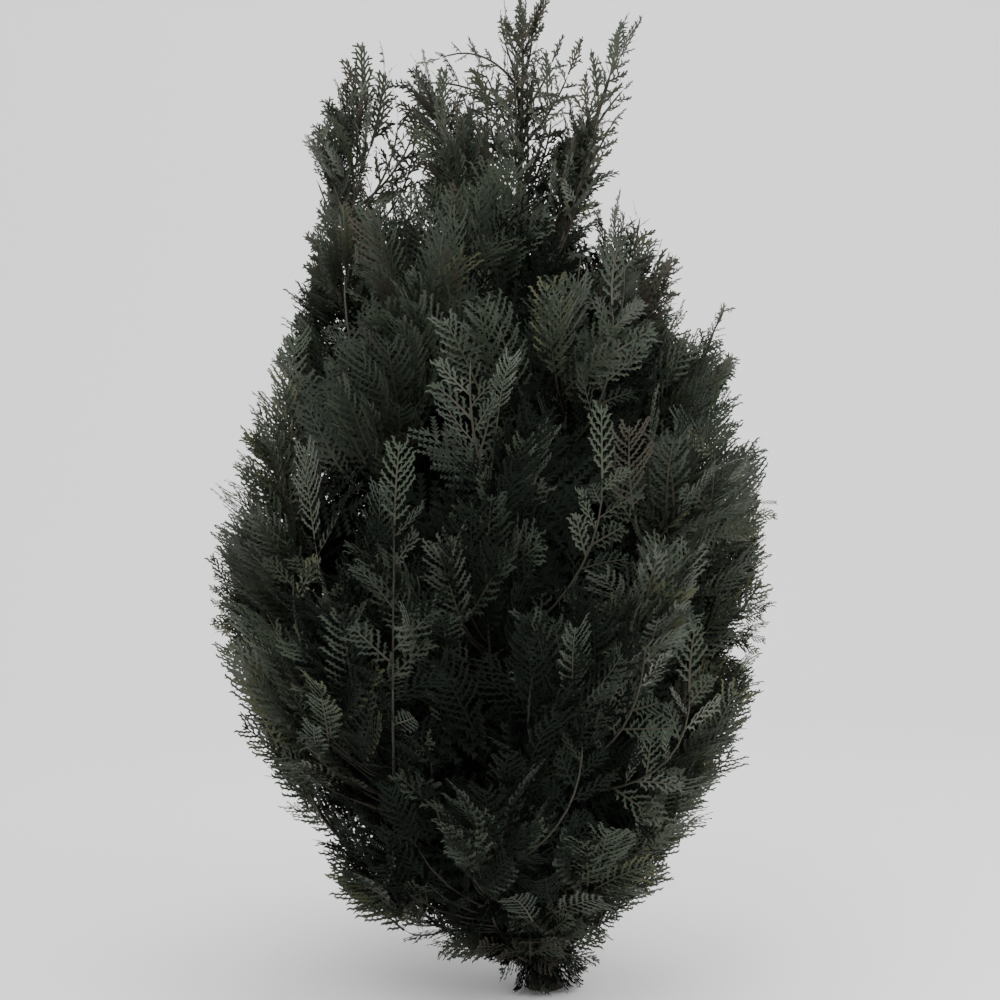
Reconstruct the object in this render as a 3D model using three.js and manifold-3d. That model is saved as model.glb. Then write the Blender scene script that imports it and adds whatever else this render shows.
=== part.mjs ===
// A young garden cypress, 1.5 m tall and rooted in the ground, with one trunk and flat, ferny sprays.
// Millimetres, +Z up. The origin is the middle of the flat cut under the trunk, and the front is -Y.
// Every bough ends where it enters its mass of foliage, whose own stem grows on from the bough's tip.

import * as THREE from 'three';
import { mergeVertices } from 'three/addons/utils/BufferGeometryUtils.js';
import Module from 'manifold-3d';

const wasm = await Module();
wasm.setup();
const { Manifold, Mesh: SolidMesh } = wasm;

// Trunk
const TRUNK_HEIGHT = 1400;
const TRUNK_FOOT_RADIUS = 18;
const TRUNK_TIP_RADIUS = 2;
const TRUNK_LEAN = -34; // how far the tip stands to the left of the foot
const TRUNK_SWAY = 12; // the slow bend on the way up
const FLARE_RADIUS = 10; // what the root flare adds at the cut
const FLARE_HEIGHT = 40; // height in which the flare has mostly gone
const TRUNK_SIDES = 10;
const TRUNK_STEPS = 14;

// Crown: half its width from the ground up, and where its middle lies
const CROWN_OUTLINE = [
  [10, 48],
  [80, 132],
  [150, 228],
  [300, 352],
  [450, 402],
  [620, 438],
  [820, 404],
  [1000, 338],
  [1110, 275],
  [1250, 225],
  [1500, 90],
];
const CROWN_OFFSET = -70; // the crown hangs over to the left of the foot
const CROWN_OFFSET_HEIGHT = 120; // height by which it has its full offset
const CROWN_DEPTH_SHARE = 0.94; // depth of the crown against its width

// Boughs and stems
const BOUGH_SLENDERNESS = 0.0085; // foot radius added for each mm of a bough's length
const BOUGH_LEAST_RADIUS = 2.6;
const BOUGH_TIP_RADIUS = 2.3;
const BOUGH_SIDES = 5;
const BOUGH_STEPS = 4;
const BOUGH_BELLY = 0.62; // how far out a bough has swung when it has risen by BOUGH_RISE
const BOUGH_RISE = 0.3;
const STEM_TIP_RADIUS = 1;
const STEM_STEPS = 3;
const TWIG_SIDES = 3;
const GAP = 0.36; // clearance between two limbs, or a limb and a mass
const SPACE_MARGIN = 0.5; // how far each mass stays inside its own space
const SEED_SHARE = 0.55; // where on its stem the middle of a mass's space lies
const SPACE_STRETCH = 0.62; // spaces are taller than they are wide by the inverse of this

// Twigs and sprays
const GOLDEN_ANGLE = Math.PI * (3 - Math.sqrt(5));
const TWIG_STRETCH = [0.06, 0.98]; // the stretch of the stem that bears twigs
const TWIG_STRIDE = 0.381966; // share of that stretch between one twig and the next, wrapping round
const TWIG_LIFT_HIGH = 1.1; // radians above level for the highest twig of a mass
const TWIG_LIFT_VARIETY = 0.3; // radians over which that lift varies from twig to twig
const TWIG_SHORTENING = [1.15, 0.75]; // length at the foot and the tip of the stem against its kind's
const TWIG_LENGTH_VARIETY = 0.3; // share of its length that varies from twig to twig
const TWIG_TAPER = 0.4; // share of its radius that a twig loses on its way
const SPRAY_UPTURN = 0.5; // how much more upright a spray stands than its twig
const TIP_UPTURN = 0.6; // how much more upright the spray at a stem's tip stands than the stem
const TWIG_THICKNESS = 0.011; // radius against length
const SIDE_SPRAY_ANGLE = 0.75;
const SIDE_SPRAY_PLACE = 0.85; // where on its twig a side spray grows
const SIDE_SPRAY_SHARE = 0.8; // length of a side spray against the end spray
const SHRINKS = [1, 0.86, 0.72, 0.6]; // sizes that a twig and its sprays are tried at until they fit
const TRIES = 6; // places tried for each twig that a mass may have
const SPRAY_WIDTH = 0.6; // widest part of a spray against its length
const SPRAY_THICKNESS = 0.012; // thickness of a spray against its length
const SPRAY_SUNK = 0.12; // share of a spray that is sunk in its twig
const SPRAY_ROLL = 0.6; // radians either way that a spray is turned about its rib
const TEETH = 2; // on each side of a spray
const TOOTH_REACH = 0.95; // how far a tooth points forward against the pitch of the teeth
const TIP_REACH = 0.4; // length of a spray's tip beyond its teeth, in the same terms
const NOTCH_SHARE = 0.34; // width of a spray between its teeth against the width at their points
const SWELL_START = 0.3; // the width follows a sine from this share of its half wave
const SWELL_STRETCH = 0.55; // over this share of it
const SWELL_POWER = 0.8;

// Cores of the dense masses
const CORE_SHARES = [0.04, 0.86]; // the stretch of the stem that the core wraps
const CORE_CROWN_SHARE = 0.9; // how near the core comes to the crown's outline
const CORE_ENDS = [0.3, 0.06]; // radius at its foot and at its tip against its kind's
const CORE_SWELL = 0.8; // what its middle adds to that
const CORE_DRAW = 0.12; // share of its way to the stem that a corner is drawn in at a time
const CORE_SIDES = 6;
const CORE_STEPS = 5;

// What a chance is drawn for
const USES = { ring: 1, lift: 2, length: 3, roll: 4, place: 5, tip: 6 };

// Kinds of foliage: the length of a spray and of a twig, how many twigs, the radius of the core, the lift
// of the lowest twig above level and how far round from outwards the twigs fan, both in radians. Twigs of
// a kind with pairs have a side spray each, and a kind that is free may leave the crown's outline.
const FULL = { spray: 195, twig: 108, twigs: 4, core: 92, lift: 0.1, fan: 1.7 };
const SKIRT = { spray: 160, twig: 92, twigs: 4, core: 74, lift: -0.2, fan: 1.7 };
const FOOT = { spray: 95, twig: 50, twigs: 3, core: 28, lift: -0.4, fan: 1.6 };
const HEART = { spray: 150, twig: 75, twigs: 3, core: 70, lift: 0.4, fan: 1.6 };
const PLUME = { spray: 125, twig: 46, twigs: 3, core: 0, lift: 0.2, fan: Math.PI, pairs: true, free: true };
const LEADER = { spray: 125, twig: 50, twigs: 3, core: 46, lift: 0.3, fan: 1.9, pairs: true, free: true };
const THIN = { spray: 80, twig: 30, twigs: 3, core: 0, lift: 0.4, fan: Math.PI, free: true };

// Tiers of boughs from the foot up. Angles are degrees round from +X, the right, towards +Y, the back.
// leaves is the height at which a bough leaves the trunk, end is where it ends and tip is where its mass's
// stem ends, both as a height and a reach from the crown's middle.
const TIERS = [
  { name: 'skirt', count: 5, angle: 54, leaves: 34, end: [80, 80], tip: [285, 282], kind: SKIRT },
  { name: 'belly', count: 5, angle: 18, leaves: 95, end: [230, 150], tip: [560, 376], kind: FULL },
  { name: 'shoulder', count: 5, angle: 54, leaves: 220, end: [450, 215], tip: [890, 328], kind: FULL },
  { name: 'upper', count: 5, angle: 18, leaves: 430, end: [720, 150], tip: [1110, 200], kind: FULL },
  { name: 'left_plume', count: 1, angle: 184, leaves: 330, end: [1000, 218], tip: [1300, 186], kind: LEADER },
  { name: 'outer_plume', count: 1, angle: 170, leaves: 400, end: [820, 272], tip: [1000, 285], kind: PLUME },
  { name: 'right_plume', count: 1, angle: 352, leaves: 640, end: [900, 180], tip: [1060, 190], kind: PLUME },
  { name: 'edge_plume', count: 1, angle: 8, leaves: 560, end: [790, 262], tip: [900, 285], kind: PLUME },
  { name: 'right_shoot', count: 1, angle: 350, leaves: 1040, end: [1190, 112], tip: [1415, 176], kind: THIN },
];

// Masses whose stem comes straight from the trunk, in the same terms
const TRUNK_MASSES = [
  { name: 'foot_right', angle: 306, leaves: 40, tip: [110, 130], kind: FOOT },
  { name: 'foot_left', angle: 222, leaves: 44, tip: [110, 120], kind: FOOT },
  { name: 'heart_front', angle: 262, leaves: 760, tip: [1100, 90], kind: HEART },
  { name: 'heart_back', angle: 80, leaves: 780, tip: [1110, 90], kind: HEART },
  { name: 'leader_left', angle: 196, leaves: 1060, tip: [1300, 88], kind: LEADER },
  { name: 'leader_right', angle: 10, leaves: 1040, tip: [1230, 92], kind: LEADER },
];
const LEADER_TIP = { name: 'leader_tip', height: 1432, kind: THIN };

const BARK = { color: 0x5d4c3d, roughness: 0.9, metalness: 0 };
const TWIG_GREEN = { color: 0x2f3a2c, roughness: 0.75, metalness: 0 };

/** A steady share from 0 to 1 for one use on one thing of one mass. */
function chance(mass, thing, use) {
  const wave = Math.sin(mass * 12.9898 + thing * 78.233 + use * 37.719) * 43758.5453;
  return wave - Math.floor(wave);
}

/** Half the crown's width at a height, between the outline's points. */
function crownHalf(height) {
  const above = CROWN_OUTLINE.findIndex(([level]) => level >= height);
  if (above < 0) return CROWN_OUTLINE.at(-1)[1];
  if (above === 0) return CROWN_OUTLINE[0][1];
  const [lowLevel, lowHalf] = CROWN_OUTLINE[above - 1];
  const [highLevel, highHalf] = CROWN_OUTLINE[above];
  return THREE.MathUtils.mapLinear(height, lowLevel, highLevel, lowHalf, highHalf);
}

/** Where the crown's middle lies, left of the foot, at a height. */
function crownMiddle(height) {
  return CROWN_OFFSET * THREE.MathUtils.smoothstep(height, 0, CROWN_OFFSET_HEIGHT);
}

/** A point at a height, a reach from the crown's middle and an angle round it in degrees. */
function crownPoint([height, reach], angle) {
  const turn = THREE.MathUtils.degToRad(angle);
  const x = crownMiddle(height) + reach * Math.cos(turn);
  return new THREE.Vector3(x, CROWN_DEPTH_SHARE * reach * Math.sin(turn), height);
}

/** The middle of the trunk at a height. */
function trunkPoint(height) {
  const share = height / TRUNK_HEIGHT;
  const sway = TRUNK_SWAY * Math.sin(2 * Math.PI * share);
  return new THREE.Vector3(TRUNK_LEAN * share + sway, sway / 2, height);
}

/** The trunk's radius at a height, with the root flare. */
function trunkRadius(height) {
  const taper = THREE.MathUtils.lerp(TRUNK_FOOT_RADIUS, TRUNK_TIP_RADIUS, height / TRUNK_HEIGHT);
  return taper + FLARE_RADIUS * Math.exp((-2 * height) / FLARE_HEIGHT);
}

/** Turns a closed geometry into a solid. */
function solidOf(geometry) {
  geometry.deleteAttribute('normal');
  geometry.deleteAttribute('uv');
  const welded = mergeVertices(geometry);
  const vertProperties = new Float32Array(welded.attributes.position.array);
  const triVerts = new Uint32Array(welded.index.array);
  return new Manifold(new SolidMesh({ numProp: 3, vertProperties, triVerts }));
}

/** Turns a solid back into a geometry. */
function geometryOf(solid) {
  const { vertProperties, triVerts } = solid.getMesh();
  const geometry = new THREE.BufferGeometry();
  geometry.setAttribute('position', new THREE.BufferAttribute(vertProperties, 3));
  geometry.setIndex(new THREE.BufferAttribute(triVerts, 1));
  geometry.computeVertexNormals();
  return geometry;
}

/** The largest closed body of a solid, with any sealed hollow filled. */
function largestBody(solid) {
  const bodies = solid.decompose();
  return bodies.reduce((best, body) => (body.volume() > best.volume() ? body : best));
}

/** The trunk, a turned profile bent to its lean, wider all round by a margin. */
function trunkSolid(margin) {
  const profile = [new THREE.Vector2(0, 0)];
  for (let step = 0; step <= TRUNK_STEPS; step += 1) {
    const height = TRUNK_HEIGHT * (step / TRUNK_STEPS) ** 1.5;
    profile.push(new THREE.Vector2(trunkRadius(height) + margin, height));
  }
  profile.at(-1).y += margin;
  profile.push(new THREE.Vector2(0, TRUNK_HEIGHT + margin));
  const geometry = new THREE.LatheGeometry(profile, TRUNK_SIDES);
  geometry.rotateX(Math.PI / 2);
  const position = geometry.attributes.position;
  for (let i = 0; i < position.count; i += 1) {
    const centre = trunkPoint(position.getZ(i));
    position.setXY(i, position.getX(i) + centre.x, position.getY(i) + centre.y);
  }
  return solidOf(geometry);
}

/**
 * A limb along a curve: a closed cylinder whose rings follow it, each with its own radius. A margin widens
 * it and lengthens its tip, and fit may move each corner, given the corner and the middle of its ring.
 */
function limbSolid(curve, radiusAt, sides, steps, { margin = 0, fit = (corner) => corner } = {}) {
  const geometry = new THREE.CylinderGeometry(1, 1, 1, sides, steps);
  const { tangents, normals, binormals } = curve.computeFrenetFrames(steps);
  const position = geometry.attributes.position;
  for (let i = 0; i < position.count; i += 1) {
    const ring = Math.round((position.getY(i) + 0.5) * steps);
    const radius = radiusAt(ring / steps) + margin;
    const middle = curve.getPointAt(ring / steps);
    const corner = middle.clone();
    corner.addScaledVector(normals[ring], radius * position.getX(i));
    corner.addScaledVector(binormals[ring], -radius * position.getZ(i));
    if (ring === steps) corner.addScaledVector(tangents[ring], margin);
    position.setXYZ(i, ...fit(corner, middle).toArray());
  }
  return solidOf(geometry);
}

/** The curve of a bough: out from the trunk, then more and more upright to its end. */
function boughCurve(tier, angle) {
  const start = trunkPoint(tier.leaves);
  const end = crownPoint(tier.end, angle);
  const belly = start.clone().lerp(end, BOUGH_BELLY);
  belly.z = THREE.MathUtils.lerp(start.z, end.z, BOUGH_RISE);
  return new THREE.QuadraticBezierCurve3(start, belly, end);
}

/** A stem's curve, which grows on the way that its bough was going and ends at the mass's tip. */
function stemCurve(start, heading, tip) {
  const reach = start.distanceTo(tip);
  const belly = start.clone().addScaledVector(heading, reach / 2);
  return new THREE.QuadraticBezierCurve3(start, belly, tip);
}

/** One bough, with its curve and its foot radius. */
function makeBough(tier, index) {
  const angle = tier.angle + (360 / tier.count) * index;
  const curve = boughCurve(tier, angle);
  const foot = BOUGH_LEAST_RADIUS + BOUGH_SLENDERNESS * curve.getLength();
  const radiusAt = (share) => THREE.MathUtils.lerp(foot, BOUGH_TIP_RADIUS, share);
  const suffix = tier.count > 1 ? `_${index + 1}` : '';
  return { name: `${tier.name}_bough${suffix}`, tier, angle, curve, radiusAt, suffix };
}

/** The mass that a bough carries: its name, stem and kind of foliage. */
function massOnBough(bough) {
  const start = bough.curve.getPoint(1);
  const tip = crownPoint(bough.tier.tip, bough.angle);
  const stem = stemCurve(start, bough.curve.getTangent(1), tip);
  const outward = THREE.MathUtils.degToRad(bough.angle);
  const name = `${bough.tier.name}_foliage${bough.suffix}`;
  return { name, stem, outward, kind: bough.tier.kind };
}

/** A mass whose stem comes straight out of the trunk. */
function massOnTrunk(row) {
  const tip = crownPoint(row.tip, row.angle);
  const start = trunkPoint(row.leaves);
  const heading = new THREE.Vector3(tip.x - start.x, tip.y - start.y, 0).normalize();
  heading.z = 1;
  const stem = stemCurve(start, heading.normalize(), tip);
  const outward = THREE.MathUtils.degToRad(row.angle);
  return { name: `${row.name}_foliage`, stem, outward, kind: row.kind };
}

/** The mass that grows on from the trunk's tip to the top of the tree. */
function massOnTip(row) {
  const start = trunkPoint(TRUNK_HEIGHT);
  const tip = new THREE.Vector3(start.x, start.y, row.height);
  const stem = stemCurve(start, new THREE.Vector3(0, 0, 1), tip);
  return { name: `${row.name}_foliage`, stem, outward: 0, kind: row.kind };
}

/** True where a point is above the ground and inside a share of the crown's outline. */
function insideCrown(point, share = 1) {
  const half = crownHalf(point.z) * share;
  const across = (point.x - crownMiddle(point.z)) / half;
  const deep = point.y / (half * CROWN_DEPTH_SHARE);
  return Math.hypot(across, deep) < 1 && point.z > SPACE_MARGIN;
}

/** True where a point is nearer to its own mass than to any other, with the margin between. */
function insideSpace(point, mass) {
  const stretched = point.clone().setZ(point.z * SPACE_STRETCH);
  const beyond = ({ middle, apart }) => stretched.clone().sub(middle).dot(apart);
  return mass.neighbours.every((plane) => beyond(plane) < -SPACE_MARGIN);
}

/** True where a point keeps to its mass's space and, in a mass of the crown, to the crown's outline. */
function keeps(point, mass, crownShare = 1) {
  return insideSpace(point, mass) && (mass.kind.free || insideCrown(point, crownShare));
}

/** True where every corner of a solid keeps to the mass's space. */
function solidKeeps(solid, mass) {
  const { vertProperties } = solid.getMesh();
  const corners = Array.from({ length: vertProperties.length / 3 }, (_, i) => i * 3);
  return corners.every((start) => keeps(new THREE.Vector3().fromArray(vertProperties, start), mass));
}

/** Gives each mass its middle and the planes half way to its neighbours, in stretched space. */
function shareSpace(masses) {
  for (const mass of masses) {
    mass.seed = mass.stem.getPointAt(SEED_SHARE);
    mass.seed.z *= SPACE_STRETCH;
  }
  for (const mass of masses) {
    mass.neighbours = masses.filter((other) => other !== mass).map(({ seed }) => {
      const middle = seed.clone().add(mass.seed).multiplyScalar(0.5);
      return { middle, apart: seed.clone().sub(mass.seed).normalize() };
    });
  }
}

/** The outline of a spray: a blade with teeth that point to its tip, widest in its lower half. */
function sprayShape(length) {
  const side = [];
  const pitch = 1 / (TEETH + TIP_REACH);
  for (let tooth = 0; tooth < TEETH; tooth += 1) {
    const foot = tooth * pitch;
    const point = foot + TOOTH_REACH * pitch;
    const swell = Math.sin(Math.PI * (SWELL_START + SWELL_STRETCH * point)) ** SWELL_POWER;
    const width = (SPRAY_WIDTH / 2) * swell;
    side.push(new THREE.Vector2(foot * length, width * NOTCH_SHARE * length));
    side.push(new THREE.Vector2(point * length, width * length));
  }
  const mirrored = side.map(({ x, y }) => new THREE.Vector2(x, -y)).reverse();
  return new THREE.Shape([...mirrored, ...side, new THREE.Vector2(length, 0)].reverse());
}

/** A spray from its root along a heading, turned about its rib. */
function spraySolid(root, heading, roll, length) {
  const depth = length * SPRAY_THICKNESS;
  const geometry = new THREE.ExtrudeGeometry(sprayShape(length), { depth, bevelEnabled: false });
  geometry.translate(-SPRAY_SUNK * length, 0, -depth / 2);
  const level = new THREE.Vector3(-heading.y, heading.x, 0).normalize();
  const side = level.applyAxisAngle(heading, roll);
  const face = new THREE.Vector3().crossVectors(heading, side);
  geometry.applyMatrix4(new THREE.Matrix4().makeBasis(heading, side, face).setPosition(root));
  return solidOf(geometry);
}

/** Where a mass's twig leaves the stem, its heading, its length and how it is rolled. */
function twigRule(mass, index) {
  const { twig, lift, fan } = mass.kind;
  const either = (use) => 2 * chance(mass.number, index, use) - 1;
  const place = (index * TWIG_STRIDE + chance(mass.number, 0, USES.place)) % 1;
  const share = THREE.MathUtils.lerp(...TWIG_STRETCH, place);
  const round = (GOLDEN_ANGLE * index) / (2 * Math.PI) + chance(mass.number, 0, USES.ring);
  const turn = mass.outward + fan * (2 * (round % 1) - 1);
  const usualRise = THREE.MathUtils.lerp(lift, TWIG_LIFT_HIGH, share);
  const rise = usualRise + (TWIG_LIFT_VARIETY / 2) * either(USES.lift);
  const flat = Math.cos(rise);
  const heading = new THREE.Vector3(flat * Math.cos(turn), flat * Math.sin(turn), Math.sin(rise));
  const usualLength = twig * THREE.MathUtils.lerp(...TWIG_SHORTENING, share);
  const length = usualLength * (1 + (TWIG_LENGTH_VARIETY / 2) * either(USES.length));
  const roll = SPRAY_ROLL * either(USES.roll);
  return { root: mass.stem.getPointAt(share), heading, length, roll };
}

/** The solids of one twig at a size: the twig itself, its end spray and maybe a side spray. */
function twigSolids(mass, index, size) {
  const { root, heading, length, roll } = twigRule(mass, index);
  const spray = mass.kind.spray * size;
  const end = root.clone().addScaledVector(heading, length * size);
  const line = new THREE.LineCurve3(root, end);
  const radiusAt = (share) => spray * TWIG_THICKNESS * (1 - TWIG_TAPER * share);
  const twig = limbSolid(line, radiusAt, TWIG_SIDES, 1);
  const upright = heading.clone().setZ(heading.z + SPRAY_UPTURN).normalize();
  const level = new THREE.Vector3(-heading.y, heading.x, 0).normalize();
  const face = new THREE.Vector3().crossVectors(upright, level.applyAxisAngle(upright, roll));
  const aside = upright.clone().applyAxisAngle(face, index % 2 ? SIDE_SPRAY_ANGLE : -SIDE_SPRAY_ANGLE);
  const foot = root.clone().lerp(end, SIDE_SPRAY_PLACE);
  const sprays = [spraySolid(end, upright, roll, spray)];
  if (mass.kind.pairs) sprays.push(spraySolid(foot, aside, roll, spray * SIDE_SPRAY_SHARE));
  return { twig, sprays };
}

/** The spray that ends a mass's stem. */
function tipSpray(mass, size) {
  const heading = mass.stem.getTangentAt(1);
  heading.z += TIP_UPTURN;
  heading.normalize();
  const turn = 2 * Math.PI * chance(mass.number, 0, USES.tip);
  return spraySolid(mass.stem.getPointAt(1), heading, turn, mass.kind.spray * size);
}

/** The core of a dense mass: a spindle round its stem, drawn in wherever it would leave the mass's space. */
function coreSolid(mass) {
  const stretch = CORE_SHARES.map((share) => mass.stem.getPointAt(share));
  const line = stemCurve(stretch[0], mass.stem.getTangentAt(CORE_SHARES[0]), stretch[1]);
  const radiusAt = (share) => {
    const ends = THREE.MathUtils.lerp(...CORE_ENDS, share);
    return mass.kind.core * (ends + CORE_SWELL * Math.sin(Math.PI * share));
  };
  const fit = (corner, middle) => {
    while (!keeps(corner, mass, CORE_CROWN_SHARE) && corner.distanceTo(middle) > 1) {
      corner.lerp(middle, CORE_DRAW);
    }
    return corner;
  };
  return limbSolid(line, radiusAt, CORE_SIDES, CORE_STEPS, { fit });
}

/** The stem of a mass, wider all round by a margin. */
function stemSolid(mass, margin) {
  const radiusAt = (share) => THREE.MathUtils.lerp(BOUGH_TIP_RADIUS, STEM_TIP_RADIUS, share);
  return limbSolid(mass.stem, radiusAt, BOUGH_SIDES, STEM_STEPS, { margin });
}

/** One mass: its stem and core, and the twigs and sprays that keep to its space and clear the rest. */
function massSolid(mass, rest) {
  let solid = stemSolid(mass, 0);
  if (mass.kind.core) solid = solid.add(coreSolid(mass));
  solid = largestBody(solid.subtract(rest));
  const fits = (piece) => solidKeeps(piece, mass) && piece.intersect(rest).isEmpty();
  const tips = SHRINKS.map((size) => tipSpray(mass, size)).filter(fits);
  let blades = tips[0] ?? rest;
  if (tips[0]) solid = solid.add(tips[0]);
  let grown = 0;
  for (let index = 0; index < mass.kind.twigs * TRIES && grown < mass.kind.twigs; index += 1) {
    for (const size of SHRINKS) {
      const { twig, sprays } = twigSolids(mass, index, size);
      const kept = sprays.filter((spray) => fits(spray) && spray.intersect(blades).isEmpty());
      if (fits(twig) && kept.includes(sprays[0])) {
        solid = kept.reduce((sum, spray) => sum.add(spray), solid.add(twig));
        blades = kept.reduce((sum, spray) => sum.add(spray), blades);
        grown += 1;
        break;
      }
    }
  }
  return largestBody(solid);
}

/** A named mesh with its own material. */
function meshOf(name, solid, finish) {
  const mesh = new THREE.Mesh(geometryOf(solid), new THREE.MeshStandardMaterial(finish));
  mesh.name = name;
  return mesh;
}

const tree = new THREE.Group();
const trunk = trunkSolid(0);
tree.add(meshOf('trunk', trunk, BARK));

const clearOfTrunk = trunkSolid(GAP);
let limbs = clearOfTrunk;
const boughs = TIERS.flatMap((tier) => {
  return Array.from({ length: tier.count }, (_, index) => makeBough(tier, index));
});
for (const { name, curve, radiusAt } of boughs) {
  const bough = limbSolid(curve, radiusAt, BOUGH_SIDES, BOUGH_STEPS).subtract(clearOfTrunk);
  tree.add(meshOf(name, largestBody(bough), BARK));
  limbs = limbs.add(limbSolid(curve, radiusAt, BOUGH_SIDES, BOUGH_STEPS, { margin: GAP }));
}

const masses = [...boughs.map(massOnBough), ...TRUNK_MASSES.map(massOnTrunk), massOnTip(LEADER_TIP)];
const stems = masses.map((mass) => stemSolid(mass, GAP));
shareSpace(masses);
masses.forEach((mass, number) => {
  mass.number = number;
  const rest = Manifold.union([limbs, ...stems.filter((_, other) => other !== number)]);
  tree.add(meshOf(mass.name, massSolid(mass, rest), TWIG_GREEN));
});

export default tree;
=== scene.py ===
"""Looks for a young garden cypress: bark, twigs and flat, ferny sprays that grow on from the frame's limbs.

Metres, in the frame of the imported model: +Z up, the front of the tree towards -Y, and the origin in the
middle of the flat cut under the trunk. Angles are degrees from +X, the right, towards +Y, the back.
"""

import logging  # noqa: E402
import math  # noqa: E402
from collections.abc import Callable, Sequence  # noqa: E402
from dataclasses import dataclass, field  # noqa: E402
from enum import Enum, IntEnum  # noqa: E402
from typing import ClassVar  # noqa: E402

import bpy  # noqa: E402
import numpy as np  # noqa: E402
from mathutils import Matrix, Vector  # noqa: E402


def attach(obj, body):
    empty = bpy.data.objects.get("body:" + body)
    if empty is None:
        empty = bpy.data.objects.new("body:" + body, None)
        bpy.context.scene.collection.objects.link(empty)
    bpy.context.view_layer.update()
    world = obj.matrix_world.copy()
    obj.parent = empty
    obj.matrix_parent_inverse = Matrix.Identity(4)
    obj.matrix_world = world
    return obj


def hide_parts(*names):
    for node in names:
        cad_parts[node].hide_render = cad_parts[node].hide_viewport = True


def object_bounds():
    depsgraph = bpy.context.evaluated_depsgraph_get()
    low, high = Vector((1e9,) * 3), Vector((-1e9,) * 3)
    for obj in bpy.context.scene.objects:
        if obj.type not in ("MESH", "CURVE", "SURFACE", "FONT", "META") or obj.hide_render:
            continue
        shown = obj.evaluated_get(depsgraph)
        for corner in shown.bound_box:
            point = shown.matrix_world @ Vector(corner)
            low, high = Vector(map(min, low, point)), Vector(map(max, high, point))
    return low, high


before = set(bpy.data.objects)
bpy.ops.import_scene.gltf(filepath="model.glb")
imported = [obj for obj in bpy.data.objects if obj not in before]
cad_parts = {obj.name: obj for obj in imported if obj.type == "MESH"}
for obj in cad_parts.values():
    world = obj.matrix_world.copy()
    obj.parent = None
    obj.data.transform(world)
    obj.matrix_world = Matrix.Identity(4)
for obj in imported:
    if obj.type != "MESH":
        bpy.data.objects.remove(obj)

FRAME_BOX = [list(corner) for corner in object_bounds()]
FRAME_LOW = np.array(FRAME_BOX[0])
FRAME_HIGH = np.array(FRAME_BOX[1])
OVERHANG = 0.028 * (FRAME_HIGH - FRAME_LOW) + 0.0095
VISUAL_LOW = np.array((*(FRAME_LOW - OVERHANG)[:2], -0.014))
VISUAL_HIGH = FRAME_HIGH + OVERHANG
UP = np.array((0.0, 0.0, 1.0))
BODY = "root"
log = logging.getLogger("cypress")

# Ground
GROUND_CLEARANCE = 0.004
LEAST_HEIGHT = 0.0015

# Envelope of the dense foliage: height, and how far it comes to the left and to the right
DENSE_ENVELOPE = (
    (0.000, 0.064, 0.046),
    (0.050, 0.110, 0.070),
    (0.080, 0.170, 0.098),
    (0.142, 0.275, 0.155),
    (0.203, 0.325, 0.202),
    (0.263, 0.372, 0.242),
    (0.355, 0.425, 0.272),
    (0.446, 0.472, 0.308),
    (0.538, 0.512, 0.325),
    (0.600, 0.524, 0.346),
    (0.680, 0.484, 0.344),
    (0.751, 0.462, 0.338),
    (0.842, 0.458, 0.312),
    (0.934, 0.420, 0.266),
    (0.995, 0.398, 0.238),
    (1.055, 0.358, 0.190),
    (1.116, 0.325, 0.148),
    (1.177, 0.285, 0.098),
    (1.238, 0.220, 0.066),
    (1.300, 0.150, 0.046),
    (1.500, 0.060, 0.010),
)

# Envelope of the open plumes and shoots, in the same terms
LOOSE_ENVELOPE = (
    (0.900, 0.450, 0.330),
    (0.995, 0.396, 0.318),
    (1.055, 0.362, 0.284),
    (1.116, 0.352, 0.206),
    (1.177, 0.345, 0.160),
    (1.238, 0.322, 0.112),
    (1.300, 0.345, 0.112),
    (1.360, 0.314, 0.132),
    (1.421, 0.284, 0.134),
    (1.520, 0.060, 0.144),
)

# Numbers from which the fronds of a mass are counted that don't grow on its twigs
COLLAR_NUMBER = 3000
SHOOT_NUMBER = 5000
TIP_NUMBER = 8999
LINING_NUMBER = 20000

# How far out in the crown things come, where 1 is on the envelope of the dense foliage
SHOOT_SHARE = 1.07
LINING_SHARE = 0.88
TWIG_SHARE = 0.88
SHADED_SHARE = 0.62

# Where the crown's painted light and shade change, lighter at its sides and darker in its upper middle, and
# how often a frond has a painted highlight at its edge
LIGHT_PAINTED_SIDE_SHARE = 0.74
MIDDLE_SIDE = 0.52
MIDDLE_HEIGHT = 0.74
LIGHT_PAINTED_EDGE_SHARE = 0.4

# Where the front of the crown starts, and the stretch of a bough that carries lining
FRONT_SHELL = -0.08
LINED_STRETCH = (0.45, 0.98)

GOLDEN_ANGLE = math.pi * (3 - math.sqrt(5))
INSIDE_FROND = 0.180
# Number of the darker twig skin worn in the darkened oval: painted shade.
SHADE_PAINTED_SKIN = 2

Envelope = Sequence[tuple[float, float, float]]
Colour = tuple[float, float, float]


class Use(IntEnum):
    """What a chance is drawn for."""

    RING = 1
    LIFT = 2
    LENGTH = 3
    ROLL = 4
    PLACE = 5
    TIP = 6
    FROND = 7
    SHADE = 8
    CURL = 9
    SIDE = 10
    SIZE = 11
    PATTERN = 12


class Shade(IntEnum):
    """The plain colours that foliage is dealt, in the order of the material slots of a foliage piece."""

    # The first shade, near black, is painted shade for fronds deep inside the crown, the lining and the
    # darkened oval.
    DARK = 0
    DEEP = 1
    GREEN = 2
    GREY = 3
    PALE = 4
    YELLOW = 5
    BROWN = 6
    RIB = 7

    @property
    def shaded(self) -> "Shade":
        """The same shade further inside the crown, where the light is poor."""
        return SHADED.get(self, self)

    @property
    def edge(self) -> "Shade":
        """The lighter shade at the frond's edge, a painted highlight."""
        return LIGHT_PAINTED_EDGES.get(self, self)


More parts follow.
